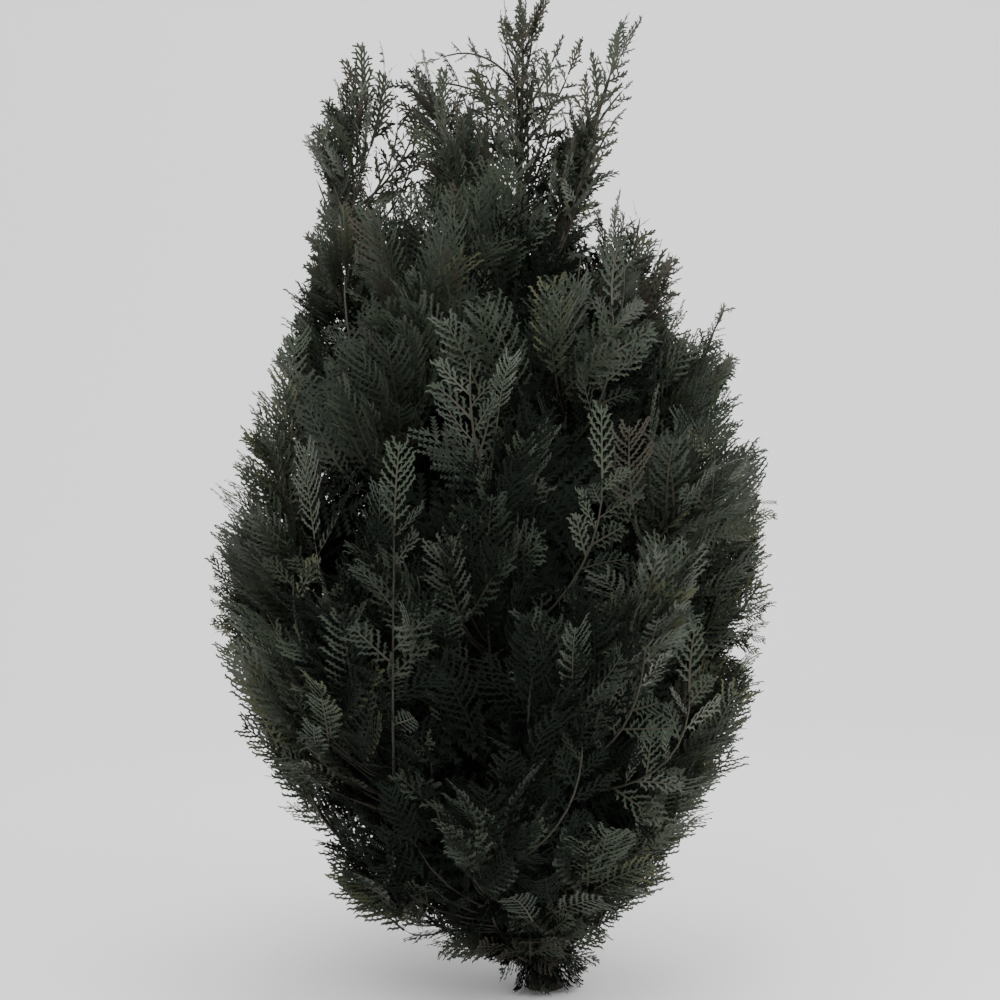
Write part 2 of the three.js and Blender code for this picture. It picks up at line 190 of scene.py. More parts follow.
SHADED = {
    Shade.DEEP: Shade.DARK,
    Shade.GREEN: Shade.DEEP,
    Shade.GREY: Shade.DEEP,
    Shade.PALE: Shade.GREEN,
    Shade.YELLOW: Shade.GREEN,
    Shade.BROWN: Shade.DARK,
}
# Painted highlight: the outer ends of a frond's side ribs one step lighter.
LIGHT_PAINTED_EDGES = {Shade.DEEP: Shade.GREEN, Shade.GREEN: Shade.GREY}


def chance(mass: float, thing: float, use: float) -> float:
    """A steady share from 0 to 1 for one use on one thing of one mass, as in the part's source.

    Args:
        mass: number of the mass.
        thing: number of the thing in it.
        use: what the chance is drawn for.

    Returns:
        The share.
    """
    wave = math.sin(mass * 12.9898 + thing * 78.233 + use * 37.719) * 43758.5453
    return wave - math.floor(wave)


def either(mass: float, thing: float, use: float) -> float:
    """The same chance, spread from -1 to 1."""
    return 2 * chance(mass, thing, use) - 1


def lerp(low: float, high: float, share: float) -> float:
    """The value a share of the way from low to high."""
    return low + (high - low) * share


def unit(vector: np.ndarray) -> np.ndarray:
    """The vector at length 1."""
    return vector / max(float(np.linalg.norm(vector)), 1e-12)


def turned(vector: np.ndarray, axis: np.ndarray, angle: float) -> np.ndarray:
    """A vector turned about an axis of length 1 by an angle in radians."""
    along = axis * float(axis @ vector)
    return along + (vector - along) * math.cos(angle) + np.cross(axis, vector) * math.sin(angle)


@dataclass(frozen=True)
class Trunk:
    """The trunk's course and thickness, as in the part's source.

    Attributes:
        height: height of its tip.
        foot_radius: its radius at the ground without the root flare.
        tip_radius: its radius at the tip.
        lean: how far the tip stands to the right of the foot.
        sway: how far it bends to either side on its way up.
        flare_radius: how much the root flare adds at the ground.
        flare_height: height at which little of the flare is left.
    """

    height: float = 1.4
    foot_radius: float = 0.018
    tip_radius: float = 0.002
    lean: float = -0.034
    sway: float = 0.012
    flare_radius: float = 0.010
    flare_height: float = 0.040

    def point(self, height: float) -> np.ndarray:
        """The middle of the trunk at a height.

        Args:
            height: the height above the ground.

        Returns:
            The point.
        """
        share = height / self.height
        sway = self.sway * math.sin(2 * math.pi * share)
        return np.array((self.lean * share + sway, sway / 2, height))

    def radius(self, height: float) -> float:
        """The trunk's radius at a height, with the root flare."""
        taper = lerp(self.foot_radius, self.tip_radius, height / self.height)
        return taper + self.flare_radius * math.exp(-2 * height / self.flare_height)


@dataclass(frozen=True)
class Crown:
    """The outline of all the foliage.

    Attributes:
        offset: how far its middle lies to the right of the trunk's foot.
        offset_height: height from which the middle lies there.
        depth_share: its depth against its width.
        dense: envelope of the dense foliage.
        loose: envelope of the open plumes and shoots.
    """

    offset: float = -0.070
    offset_height: float = 0.120
    depth_share: float = 0.94
    dense: Envelope = DENSE_ENVELOPE
    loose: Envelope = LOOSE_ENVELOPE

    def middle(self, height: float) -> float:
        """How far the crown's middle lies to the right of the foot, at a height."""
        share = min(max(height / self.offset_height, 0.0), 1.0)
        return self.offset * share * share * (3 - 2 * share)

    def point(self, row: tuple[float, float], angle: float) -> np.ndarray:
        """A point of the crown.

        Args:
            row: its height and its reach from the crown's middle.
            angle: the angle round the crown in degrees.

        Returns:
            The point.
        """
        height, reach = row
        turn = math.radians(angle)
        x = self.middle(height) + reach * math.cos(turn)
        return np.array((x, self.depth_share * reach * math.sin(turn), height))

    @staticmethod
    def sides(envelope: Envelope, height: np.ndarray) -> tuple[np.ndarray, np.ndarray]:
        """How far an envelope comes to the left and to the right at a height, or at several."""
        levels, lefts, rights = zip(*envelope)
        return np.interp(height, levels, lefts), np.interp(height, levels, rights)

    def side_share(self, points: np.ndarray) -> np.ndarray:
        """How far to the right points lie, where -1 and 1 are on the envelope of the dense foliage."""
        left, right = self.sides(self.dense, points[..., 2])
        return (2 * points[..., 0] - right + left) / (left + right)

    def share(self, points: np.ndarray) -> np.ndarray:
        """How far out points lie, where 1 is on the envelope of the dense foliage."""
        left, right = self.sides(self.dense, points[..., 2])
        return np.hypot(self.side_share(points), 2 * points[..., 1] / (left + right) / self.depth_share)

    def holds_loosely(self, point: np.ndarray) -> bool:
        """True for a point between the sides of the open plumes and shoots."""
        left, right = self.sides(self.loose, float(point[2]))
        return -left < point[0] < right


TRUNK = Trunk()
CROWN = Crown()


@dataclass(frozen=True)
class Oval:
    """An upright oval as seen from the front, through the whole depth of the crown.

    Attributes:
        x: its middle, to the right of the trunk's foot.
        z: height of its middle.
        half_width: half its width.
        half_height: half its height.
    """

    x: float
    z: float
    half_width: float
    half_height: float

    def holds(self, point: np.ndarray) -> bool:
        """True for a point inside the oval."""
        aside = (point[0] - self.x) / self.half_width
        return math.hypot(aside, (point[2] - self.z) / self.half_height) < 1


@dataclass(frozen=True)
class Hollow(Oval):
    """A dark hollow in the front of the crown that outer fronds leave free."""

    def holds(self, point: np.ndarray) -> bool:
        """True for a point of the crown's front shell inside the oval."""
        return point[1] < FRONT_SHELL and CROWN.share(point) > SHADED_SHARE and super().holds(point)


HOLLOWS = (
    Hollow(-0.030, 0.960, 0.028, 0.120),
    Hollow(-0.100, 0.560, 0.040, 0.065),
    Hollow(-0.160, 0.250, 0.040, 0.050),
)
# An oval through the crown's whole depth, in the lower front middle, where fronds, lining and twigs are dealt
# darker colours: painted shade.
SHADE_PAINTED_OVAL = Oval(-0.114, 0.430, 0.200, 0.330)


class Line:
    """A curve through space that is asked for points by the share of its length."""

    STEPS = 200

    def __init__(self, points: np.ndarray) -> None:
        """Measures the curve.

        Args:
            points: the points that it follows, closely spaced.
        """
        self.points = points
        spans = np.linalg.norm(np.diff(points, axis=0), axis=1)
        self.travelled = np.concatenate(([0.0], np.cumsum(spans)))
        self.length = float(self.travelled[-1])

    @classmethod
    def bent(cls, start: np.ndarray, belly: np.ndarray, end: np.ndarray) -> "Line":
        """A curve from start to end that is drawn towards belly."""
        t = np.linspace(0, 1, cls.STEPS + 1)[:, None]
        return cls((1 - t) ** 2 * start + 2 * t * (1 - t) * belly + t**2 * end)

    def at(self, share: float | np.ndarray) -> np.ndarray:
        """The point at a share of the length, or the points at several.

        Args:
            share: the share, or an array of shares.

        Returns:
            The point, or a row for each.
        """
        place = np.asarray(share) * self.length
        columns = [np.interp(place, self.travelled, self.points[:, axis]) for axis in range(3)]
        return np.stack(columns, axis=-1)

    def heading(self, share: float) -> np.ndarray:
        """The direction at a share of the length."""
        low, high = max(share - 0.01, 0.0), min(share + 0.01, 1.0)
        return unit(self.at(high) - self.at(low))


@dataclass
class Heap:
    """Vertices, triangles and material slots that pile up for one joined mesh."""

    corners: list[np.ndarray] = field(default_factory=list)
    faces: list[np.ndarray] = field(default_factory=list)
    slots: list[np.ndarray] = field(default_factory=list)
    count: int = 0

    def add(self, corners: np.ndarray, faces: np.ndarray, slots: np.ndarray) -> None:
        """Adds a patch.

        Args:
            corners: its vertices, one row each.
            faces: its triangles, as rows of three indices into corners.
            slots: the material slot of each triangle.
        """
        self.corners.append(corners)
        self.faces.append(faces + self.count)
        self.slots.append(slots)
        self.count += len(corners)

    @property
    def triangles(self) -> int:
        """How many triangles have been added."""
        return sum(len(faces) for faces in self.faces)

    def build(self, name: str, materials: Sequence[bpy.types.Material]) -> bpy.types.Object:
        """Makes the joined mesh.

        Args:
            name: name of the object and its mesh.
            materials: what the slots stand for.

        Returns:
            The object, linked to the scene.
        """
        corners = np.concatenate(self.corners).astype(np.float32)
        faces = np.concatenate(self.faces).astype(np.int32)
        slots = np.concatenate(self.slots).astype(np.int32)
        mesh = bpy.data.meshes.new(name)
        mesh.vertices.add(len(corners))
        mesh.vertices.foreach_set("co", corners.ravel())
        mesh.loops.add(faces.size)
        mesh.loops.foreach_set("vertex_index", faces.ravel())
        mesh.polygons.add(len(faces))
        mesh.polygons.foreach_set("loop_start", np.arange(0, faces.size, 3, dtype=np.int32))
        mesh.polygons.foreach_set("material_index", slots)
        mesh.polygons.foreach_set("use_smooth", np.ones(len(faces), dtype=bool))
        for material in materials:
            mesh.materials.append(material)
        mesh.update(calc_edges=True)
        thing = bpy.data.objects.new(name, mesh)
        bpy.context.scene.collection.objects.link(thing)
        return thing


def tube(
    line: Line, radius: Callable[[float], float], sides: int, rings: int
) -> tuple[np.ndarray, np.ndarray]:
    """A tapering tube along a line, closed by a point at its tip.

    Args:
        line: what it follows.
        radius: its radius at a share of the length.
        sides: how many sides it has.
        rings: how many rings it has, the first one at its foot.

    Returns:
        Its vertices and triangles.
    """
    shares = np.linspace(0, 1, rings + 1)[:-1]
    middles = line.at(shares)
    across = unit(np.cross(line.heading(0), (0.31, 0.17, 0.94)))
    corners = []
    for share, middle in zip(shares, middles):
        heading = line.heading(float(share))
        across = unit(across - heading * float(across @ heading))
        beside = np.cross(heading, across)
        turn = np.arange(sides) * 2 * math.pi / sides
        ring = np.cos(turn)[:, None] * across + np.sin(turn)[:, None] * beside
        corners.append(middle + ring * radius(float(share)))
    corners.append(line.at(1.0)[None, :])
    faces = []
    for ring in range(rings - 1):
        for side in range(sides):
            a, b = ring * sides + side, ring * sides + (side + 1) % sides
            faces += [(a, b, b + sides), (a, b + sides, a + sides)]
    last, tip = (rings - 1) * sides, rings * sides
    faces += [(last + side, last + (side + 1) % sides, tip) for side in range(sides)]
    return np.concatenate(corners), np.array(faces)


class Zone(IntEnum):
    """Parts of a frond that may differ in shade."""

    BLADE = 0
    TIP = 1
    RIB = 2


@dataclass
class Drawing:
    """A frond drawn flat: its root at the origin, its rib along x, its side ribs to plus and minus y.

    Attributes:
        points: its points, each with its height above the frond's plane.
        triangles: its triangles, as indices of three points.
        zones: the zone of each triangle.
    """

    points: list[tuple[float, float, float]] = field(default_factory=list)
    triangles: list[tuple[int, int, int]] = field(default_factory=list)
    zones: list[Zone] = field(default_factory=list)

    def point(self, place: np.ndarray, height: float = 0.0) -> int:
        """Adds a point and gives its index."""
        self.points.append((float(place[0]), float(place[1]), height))
        return len(self.points) - 1

    def triangle(self, first: int, second: int, third: int, zone: Zone) -> None:
        """Adds a triangle, turned so that it faces up.

        Args:
            first: index of a point.
            second: index of the next one.
            third: index of the last one.
            zone: its zone.
        """
        (ax, ay, _), (bx, by, _), (cx, cy, _) = (self.points[one] for one in (first, second, third))
        if (bx - ax) * (cy - ay) < (by - ay) * (cx - ax):
            second, third = third, second
        self.triangles.append((first, second, third))
        self.zones.append(zone)

    def bar(self, start: np.ndarray, end: np.ndarray, widths: tuple[float, float], zone: Zone,
            droop: float = 0.0) -> None:
        """Adds a flat bar.

        Args:
            start: its foot.
            end: its tip.
            widths: half its width at the foot and at the tip.
            zone: its zone.
            droop: how far its tip lies under the frond's plane.
        """
        along = unit(end - start)
        aside = np.array((-along[1], along[0]))
        foot, tip = widths
        a, b = self.point(start - foot * aside), self.point(start + foot * aside)
        c, d = self.point(end + tip * aside, -droop), self.point(end - tip * aside, -droop)
        self.triangle(a, c, b, zone)
        self.triangle(a, d, c, zone)

    def rib(self, length: float, foot: float, tip: float) -> None:
        """Adds the middle rib in three stretches, so that it can curl.

        Args:
            length: its length.
            foot: half its width at the root.
            tip: half its width at the tip.
        """
        joints = np.linspace(0, length, 4)
        for low, high in zip(joints, joints[1:]):
            widths = (lerp(foot, tip, low / length), lerp(foot, tip, high / length))
            self.bar(np.array((low, 0.0)), np.array((high, 0.0)), widths, Zone.RIB)

    def done(self, length: float) -> "Frond":
        """The frond as arrays."""
        return Frond(np.array(self.points), np.array(self.triangles), np.array(self.zones), length)


def direction(angle: float) -> np.ndarray:
    """The direction at an angle in a frond's plane."""
    return np.array((math.cos(angle), math.sin(angle)))


@dataclass(frozen=True)
class ClosedPattern:
    """A dense frond, a rib with slim side ribs that are set with short scaly shoots by turns.

    Attributes:
        length: its length.
        pairs: how many side ribs it has on each side.
        seed: what its chances are drawn with.
        width_share: its width against its length.
        pitch: distance between the shoots on a side rib.
        shoot: length of a shoot.
        base: width of a shoot where it grows.
        lean: angle between a shoot and its side rib.
        bend: angle by which a side rib bends up halfway.
        droop: how far the tip of a shoot lies under the frond's plane.
    """

    length: float
    pairs: int
    seed: int
    width_share: float = 0.48
    pitch: float = 0.0044
    shoot: float = 0.0070
    base: float = 0.0052
    lean: float = 0.72
    bend: float = 0.24
    droop: float = 0.0008

    def half_width(self, share: float) -> float:
        """Half the frond's width at a share of its length."""
        swell = math.sin(math.pi * (0.17 + 0.74 * share)) ** 0.8
        return self.length * self.width_share / 2 * swell

    def draw_shoot(self, drawing: Drawing, foot: np.ndarray, way: float, size: float, zone: Zone) -> None:
        """Draws one scaly shoot.

        Args:
            drawing: what it is drawn on.
            foot: the middle of its foot on the side rib.
            way: the angle of the side rib there.
            size: its length, less than 0 for one to the right of the side rib.
            zone: its zone.
        """
        along = self.base / 2 * direction(way)
        tip = foot + abs(size) * direction(way + math.copysign(self.lean, size))
        drawing.triangle(
            drawing.point(foot - along), drawing.point(foot + along), drawing.point(tip, -self.droop), zone
        )

    def draw_side_rib(self, drawing: Drawing, index: int) -> None:
        """Draws one side rib with its shoots.

        Args:
            drawing: what it is drawn on.
            index: its number from the root up, even ones to the left and odd ones to the right.
        """
        side = 1 if index % 2 == 0 else -1
        share = lerp(0.04, 0.95, (index + 0.5) / (2 * self.pairs))
        share += 0.008 * either(self.seed, index, Use.PLACE)
        angle = side * (lerp(0.96, 0.58, share) + 0.11 * either(self.seed, index, Use.SIDE))
        reach = self.half_width(share) / abs(math.sin(angle))
        reach *= 1 + 0.26 * either(self.seed, index, Use.LENGTH)
        root = np.array((share * self.length, 0.0))
        elbow = root + reach / 2 * direction(angle)
        bent = angle - side * self.bend
        end = elbow + reach / 2 * direction(bent)
        drawing.bar(root, elbow, (0.0013, 0.0014), Zone.BLADE)
        drawing.bar(elbow, end, (0.0014, 0.0012), Zone.TIP)
        count = max(2, round(reach / self.pitch))
        for number in range(count):
            done = (number + 0.8) / (count + 0.3)
            size = self.shoot * lerp(1.0, 0.70, done)
            size *= 1 + 0.24 * either(self.seed + number, index, Use.SIZE)
            if (number + index) % 2:
                size = -size
            if done < 0.5:
                foot = root + reach * done * direction(angle)
                self.draw_shoot(drawing, foot, angle, size, Zone.BLADE)
            else:
                foot = elbow + reach * (done - 0.5) * direction(bent)
                self.draw_shoot(drawing, foot, bent, size, Zone.TIP)

    def made(self) -> "Frond":
        """Draws the frond.

        Returns:
            The frond as arrays.
        """
        drawing = Drawing()
        for index in range(2 * self.pairs):
            self.draw_side_rib(drawing, index)
        tip = np.array((self.length * 0.94, 0.0))
        for turn in (-0.7, 0.0, 0.7):
            end = tip + direction(turn) * 1.4 * self.shoot * (1.0 - 0.3 * abs(turn))
            drawing.bar(tip, end, (0.0015, 0.0011), Zone.TIP)
        drawing.rib(0.95 * self.length, 0.0017, 0.0009)
        return drawing.done(self.length)


@dataclass(frozen=True)
class ShadedPattern(ClosedPattern):
    """A frond of the shaded inside, the same with fewer side ribs and broad shoots to both sides."""

    width_share: float = 0.56
    pitch: float = 0.0105
    shoot: float = 0.0140
    base: float = 0.0105
    lean: float = 0.80
    droop: float = 0.0010

    def draw_side_rib(self, drawing: Drawing, index: int) -> None:
        """Draws one side rib, straight, with shoots over its whole length.

        Args:
            drawing: what it is drawn on.
            index: its number from the root up, even ones to the left and odd ones to the right.
        """
        side = 1 if index % 2 == 0 else -1
        share = lerp(0.05, 0.93, (index + 0.5) / (2 * self.pairs))
        angle = side * (lerp(0.98, 0.62, share) + 0.10 * either(self.seed, index, Use.SIDE))
        reach = self.half_width(share) / abs(math.sin(angle))
        reach *= 1 + 0.18 * either(self.seed, index, Use.LENGTH)
        root = np.array((share * self.length, 0.0))
        drawing.bar(root, root + reach * direction(angle), (0.0016, 0.0009), Zone.BLADE)
        count = max(1, round(reach / self.pitch))
        for number in range(count):
            done = (number + 0.6) / (count + 0.2)
            foot = root + reach * done * direction(angle)
            for flank in (1, -1):
                self.draw_shoot(drawing, foot, angle, flank * self.shoot * lerp(1.0, 0.6, done), Zone.BLADE)


@dataclass(frozen=True)
class OpenPattern:
    """An open frond of the tree's top, a scaly rib with short, forked side shoots that stand apart.

    Attributes:
        length: its length.
        pairs: how many side shoots it has on each side.
        seed: what its chances are drawn with.
        slimness: length of its longest side shoots against its own.
        fork_pitch: distance between the forks of a side shoot.
        fork: length of a fork.
    """

    length: float
    pairs: int
    seed: int
    slimness: float = 0.34
    fork_pitch: float = 0.0085
    fork: float = 0.0100

    def draw_side_shoot(self, drawing: Drawing, index: int) -> None:
        """Draws one side shoot with its forks.

        Args:
            drawing: what it is drawn on.
            index: its number from the root up, even ones to the left and odd ones to the right.
        """
        side = 1 if index % 2 == 0 else -1
        share = lerp(0.10, 0.94, (index + 0.5) / (2 * self.pairs))
        angle = side * (lerp(0.86, 0.60, share) + 0.12 * either(self.seed, index, Use.SIDE))
        swell = lerp(1.0, 0.38, share) * min(1.0, 0.55 + 2.2 * share)
        reach = self.length * self.slimness * swell * (1 + 0.22 * either(self.seed, index, Use.LENGTH))
        root = np.array((share * self.length, 0.0))
        end = root + direction(angle - side * 0.12) * reach
        drawing.bar(root, end, (0.0018, 0.0011), Zone.BLADE)
        forks = int(reach / self.fork_pitch)
        for number in range(forks):
            place = root + (end - root) * (number + 0.8) / (forks + 0.6)
            way = angle + (0.72 if number % 2 else -0.72)
            size = self.fork * lerp(1.0, 0.7, number / max(forks, 1))
            drawing.bar(place, place + direction(way) * size, (0.0016, 0.0010), Zone.TIP)

    def made(self) -> "Frond":
        """Draws the frond.

        Returns:
            The frond as arrays.
        """
        drawing = Drawing()
        for index in range(2 * self.pairs):
            self.draw_side_shoot(drawing, index)
        drawing.rib(self.length, 0.0020, 0.0011)
        return drawing.done(self.length)


@dataclass(frozen=True)
class Frond:
    """A frond as arrays.

    Attributes:
        points: its points, each with its height above the frond's plane.
        triangles: its triangles, as rows of three indices.
        zones: the zone of each triangle.
        length: its length.
    """

    points: np.ndarray
    triangles: np.ndarray
    zones: np.ndarray
    length: float

    def laid(self, place: "Place") -> np.ndarray:
        """The frond's points where it grows.

        Args:
            place: its root, directions, size and curl.

        Returns:
            Its points in space.
        """
        x, y, z = (self.points * place.size).T
        reach = self.length * place.size
        along = x / reach
        y = y + place.sweep * reach * along**2
        z = z - place.curl * reach * along**2 - place.cup * y**2 / reach
        return place.root + np.outer(x, place.heading) + np.outer(y, place.side) + np.outer(z, place.face)

    def slots(self, shade: Shade, tip: Shade) -> np.ndarray:
        """The material slot of each triangle, with a shade for the blades and one for their tips."""
        # A near-black frond keeps a near-black rib: painted shade.
        rib = Shade.DARK if shade is Shade.DARK else Shade.RIB
        return np.array((shade, tip, rib))[self.zones]


@dataclass(frozen=True)
class Place:
    """Where a frond grows and how it lies.

    Attributes:
        root: where it grows.
        heading: where its tip points.
        side: where its left side ribs point.
        face: where its upper side looks.
        size: its scale.
        curl: how far its tip bends down, against its length.
        cup: how far its sides bend down.
        sweep: how far its rib bends to the left.
    """

    root: np.ndarray
    heading: np.ndarray
    side: np.ndarray
    face: np.ndarray
    size: float
    curl: float
    cup: float
    sweep: float

    @classmethod
    def facing(cls, root: np.ndarray, heading: np.ndarray, outward: np.ndarray, roll: float, size: float,
               **curls: float) -> "Place":
        """A place whose frond shows its upper side outwards before it is rolled about its rib.

        Args:
            root: where it grows.
            heading: where its tip points.
            outward: where its upper side looks.
            roll: how far it is rolled about its rib.
            size: its scale.
            **curls: how its tip, its sides and its rib bend.

        Returns:
            The place.
        """
        side = turned(unit(np.cross(heading, outward) + 1e-6), heading, roll)
        side = unit(side - heading * float(side @ heading))
        return cls(root, heading, side, np.cross(heading, side), size, **curls)


class Shelf(Enum):
    """Where a frond's pattern is picked from."""

    DENSE = "dense"
    SHADED = "shaded"
    OPEN = "open"


class FrondBook:
    """The patterns that fronds are cut to, several for each length."""

    LENGTHS = {
        Shelf.DENSE: ((0.060, 5), (0.086, 6), (0.114, 8), (0.142, 10), (0.170, 11)),
        Shelf.SHADED: ((0.130, 5), (0.180, 6)),
        Shelf.OPEN: ((0.040, 4), (0.060, 6), (0.085, 8), (0.110, 10)),
    }
    EACH = 4

    def __init__(self) -> None:
        """Cuts every pattern once."""
        cutters = {Shelf.DENSE: ClosedPattern, Shelf.SHADED: ShadedPattern, Shelf.OPEN: OpenPattern}
        self.shelves = {shelf: self.cut(cutters[shelf], self.LENGTHS[shelf]) for shelf in Shelf}

    def cut(self, cutter: Callable, lengths: Sequence[tuple[float, int]]) -> list[list[Frond]]:
        """Cuts some fronds of each length, told apart by their seeds.

        Args:
            cutter: the pattern's class.
            lengths: the lengths, each with how many side ribs stand on each side.

        Returns:
            A row of fronds for each length.
        """
        return [
            [cutter(length, pairs, 10 * row + each).made() for each in range(self.EACH)]
            for row, (length, pairs) in enumerate(lengths)
        ]

    def pick(self, shelf: Shelf, length: float, share: float) -> Frond:
        """The frond whose length is nearest, by a chance among those alike."""
        alike = min(self.shelves[shelf], key=lambda row: abs(row[0].length - length))
        return alike[int(share * len(alike)) % len(alike)]


@dataclass(frozen=True)
class Foliage:
    """A kind of foliage, with its sizes in metres and its angles in radians.

    Attributes:
        twig: length of a twig by the source's rule.
        reach: furthest that a frond's tip comes from the stem.
        lift: lift of the lowest twig above level.
        fan: how far round from outwards the twigs fan.
        twigs: how many twigs the stem carries.
        frond: length of a frond at a twig's end.
        side_fronds: how many fronds stand along a twig.
        inner: how many coarser fronds fill the shaded inside.
        upturn: how strongly its fronds turn up.
        shelf: where its fronds' patterns come from.
        shades: the shades dealt to its fronds, with their weights.
        free: whether fronds may leave the crown's outline.
        stretch: first and last share of the stem that carries twigs.
        stride: how far along the stem the next twig comes, as a share.
        top_lift: lift of the highest twig above level.
        lift_variety: how much the lift varies.
        shortening: length of the lowest and the highest twig against the usual one.
        length_variety: how much the length varies.
        roll: how far fronds of the lining are rolled about their ribs.
        spread: how far the other fronds are.
        tip_upturn: how strongly the frond at the stem's end turns up.
    """

    twig: float
    reach: float
    lift: float
    fan: float
    twigs: int
    frond: float
    side_fronds: int
    inner: int
    upturn: float
    shelf: Shelf
    shades: dict[Shade, float]
    free: bool = False
    stretch: tuple[float, float] = (0.06, 0.98)
    stride: float = 0.381966
    top_lift: float = 1.1
    lift_variety: float = 0.3
    shortening: tuple[float, float] = (1.15, 0.75)
    length_variety: float = 0.3
    roll: float = 0.6
    spread: float = 1.15
    tip_upturn: float = 0.6


GREENS = {
    Shade.DEEP: 0.24, Shade.GREEN: 0.48, Shade.GREY: 0.17, Shade.PALE: 0.01, Shade.YELLOW: 0.06,
    Shade.BROWN: 0.04,
}
# Lighter, warmer shades for the crown's left and right sides: painted light.
LIGHT_PAINTED_SIDE_GREENS = {
    Shade.DEEP: 0.04, Shade.GREEN: 0.24, Shade.GREY: 0.30, Shade.PALE: 0.12, Shade.YELLOW: 0.26,
    Shade.BROWN: 0.04,
}
# Darker shades for the upper middle of the crown, damping its brightest fronds: painted shade.
SHADE_PAINTED_UPPER_GREENS = {
    Shade.DEEP: 0.44, Shade.GREEN: 0.42, Shade.GREY: 0.04, Shade.YELLOW: 0.04, Shade.BROWN: 0.06,
}
# Mostly near black and deep green, for the darkened oval: painted shade.
SHADE_PAINTED_GREENS = {
    Shade.DARK: 0.64, Shade.DEEP: 0.26, Shade.GREEN: 0.05, Shade.GREY: 0.02, Shade.YELLOW: 0.01,
    Shade.BROWN: 0.02,
}
# Brown older foliage at the foot, with near-black and deep shares that are painted shade.
LOW_GREENS = {
    Shade.DARK: 0.16, Shade.DEEP: 0.26, Shade.GREEN: 0.16, Shade.GREY: 0.04, Shade.BROWN: 0.38,
}
# Paler greys for the open plumes at the top: painted light, beside their real browns.
HIGH_GREENS = {
    Shade.DEEP: 0.10, Shade.GREEN: 0.26, Shade.GREY: 0.34, Shade.PALE: 0.08, Shade.YELLOW: 0.05,
    Shade.BROWN: 0.17,
}

FULL = Foliage(0.108, 0.330, 0.1, 1.7, 42, 0.134, 3, 70, 0.85, Shelf.DENSE, GREENS)
SKIRT = Foliage(0.092, 0.270, -0.2, 1.7, 32, 0.118, 3, 36, 0.55, Shelf.DENSE, GREENS)
FOOT = Foliage(0.050, 0.160, -0.4, 1.6, 18, 0.080, 3, 12, 0.15, Shelf.DENSE, LOW_GREENS)
HEART = Foliage(0.075, 0.260, 0.4, 1.6, 32, 0.115, 3, 30, 0.85, Shelf.DENSE, GREENS)
PLUME = Foliage(0.046, 0.165, 0.2, math.pi, 20, 0.085, 3, 0, 0.85, Shelf.OPEN, HIGH_GREENS, free=True)
LEADER = Foliage(0.050, 0.170, 0.3, 1.9, 28, 0.095, 3, 0, 0.85, Shelf.OPEN, HIGH_GREENS, free=True)
THIN = Foliage(0.030, 0.110, 0.4, math.pi, 9, 0.055, 1, 0, 0.85, Shelf.OPEN, HIGH_GREENS, free=True)


@dataclass(frozen=True)
class Collar:
    """Short fronds straight on the trunk, close above the ground.

    Attributes:
        count: how many there are on each side.
        fan: how far round from outwards they fan.
        heights: lowest and highest foot of those that hang.
        drop: how much lower the feet of those that stand are.
        fall: height over which a hanging one comes down to the ground.
        spread: how far they stand out against their rise or fall.
        lengths: shortest and longest frond.
        shades: the shades dealt to them in equal parts.
    """

    count: int = 46
    fan: float = 2.7
    heights: tuple[float, float] = (0.050, 0.095)
    drop: float = 0.040
    fall: float = 0.080
    spread: tuple[float, float] = (0.30, 0.75)
    lengths: tuple[float, float] = (0.058, 0.082)
    shades: tuple[Shade, ...] = (Shade.BROWN, Shade.DEEP, Shade.BROWN, Shade.GREEN)


@dataclass(frozen=True)
class Shoot:
    """A long shoot that stands out of the top, as a stem with open fronds to both sides.

    Attributes:
        node: the node of the mass that it belongs to.
        start: where it leaves the wood, as x, y and z.
        belly: what it is drawn towards on its way.
        tip: where its wood ends.
        frond: length of its lowest fronds.
        shade: the shade of its fronds, or None where they are dealt.
        pitch: distance between its fronds.
    """

    node: str
    start: tuple[float, float, float]
    belly: tuple[float, float, float]
    tip: tuple[float, float, float]
    frond: float
    shade: Shade | None = None
    pitch: float = 0.013


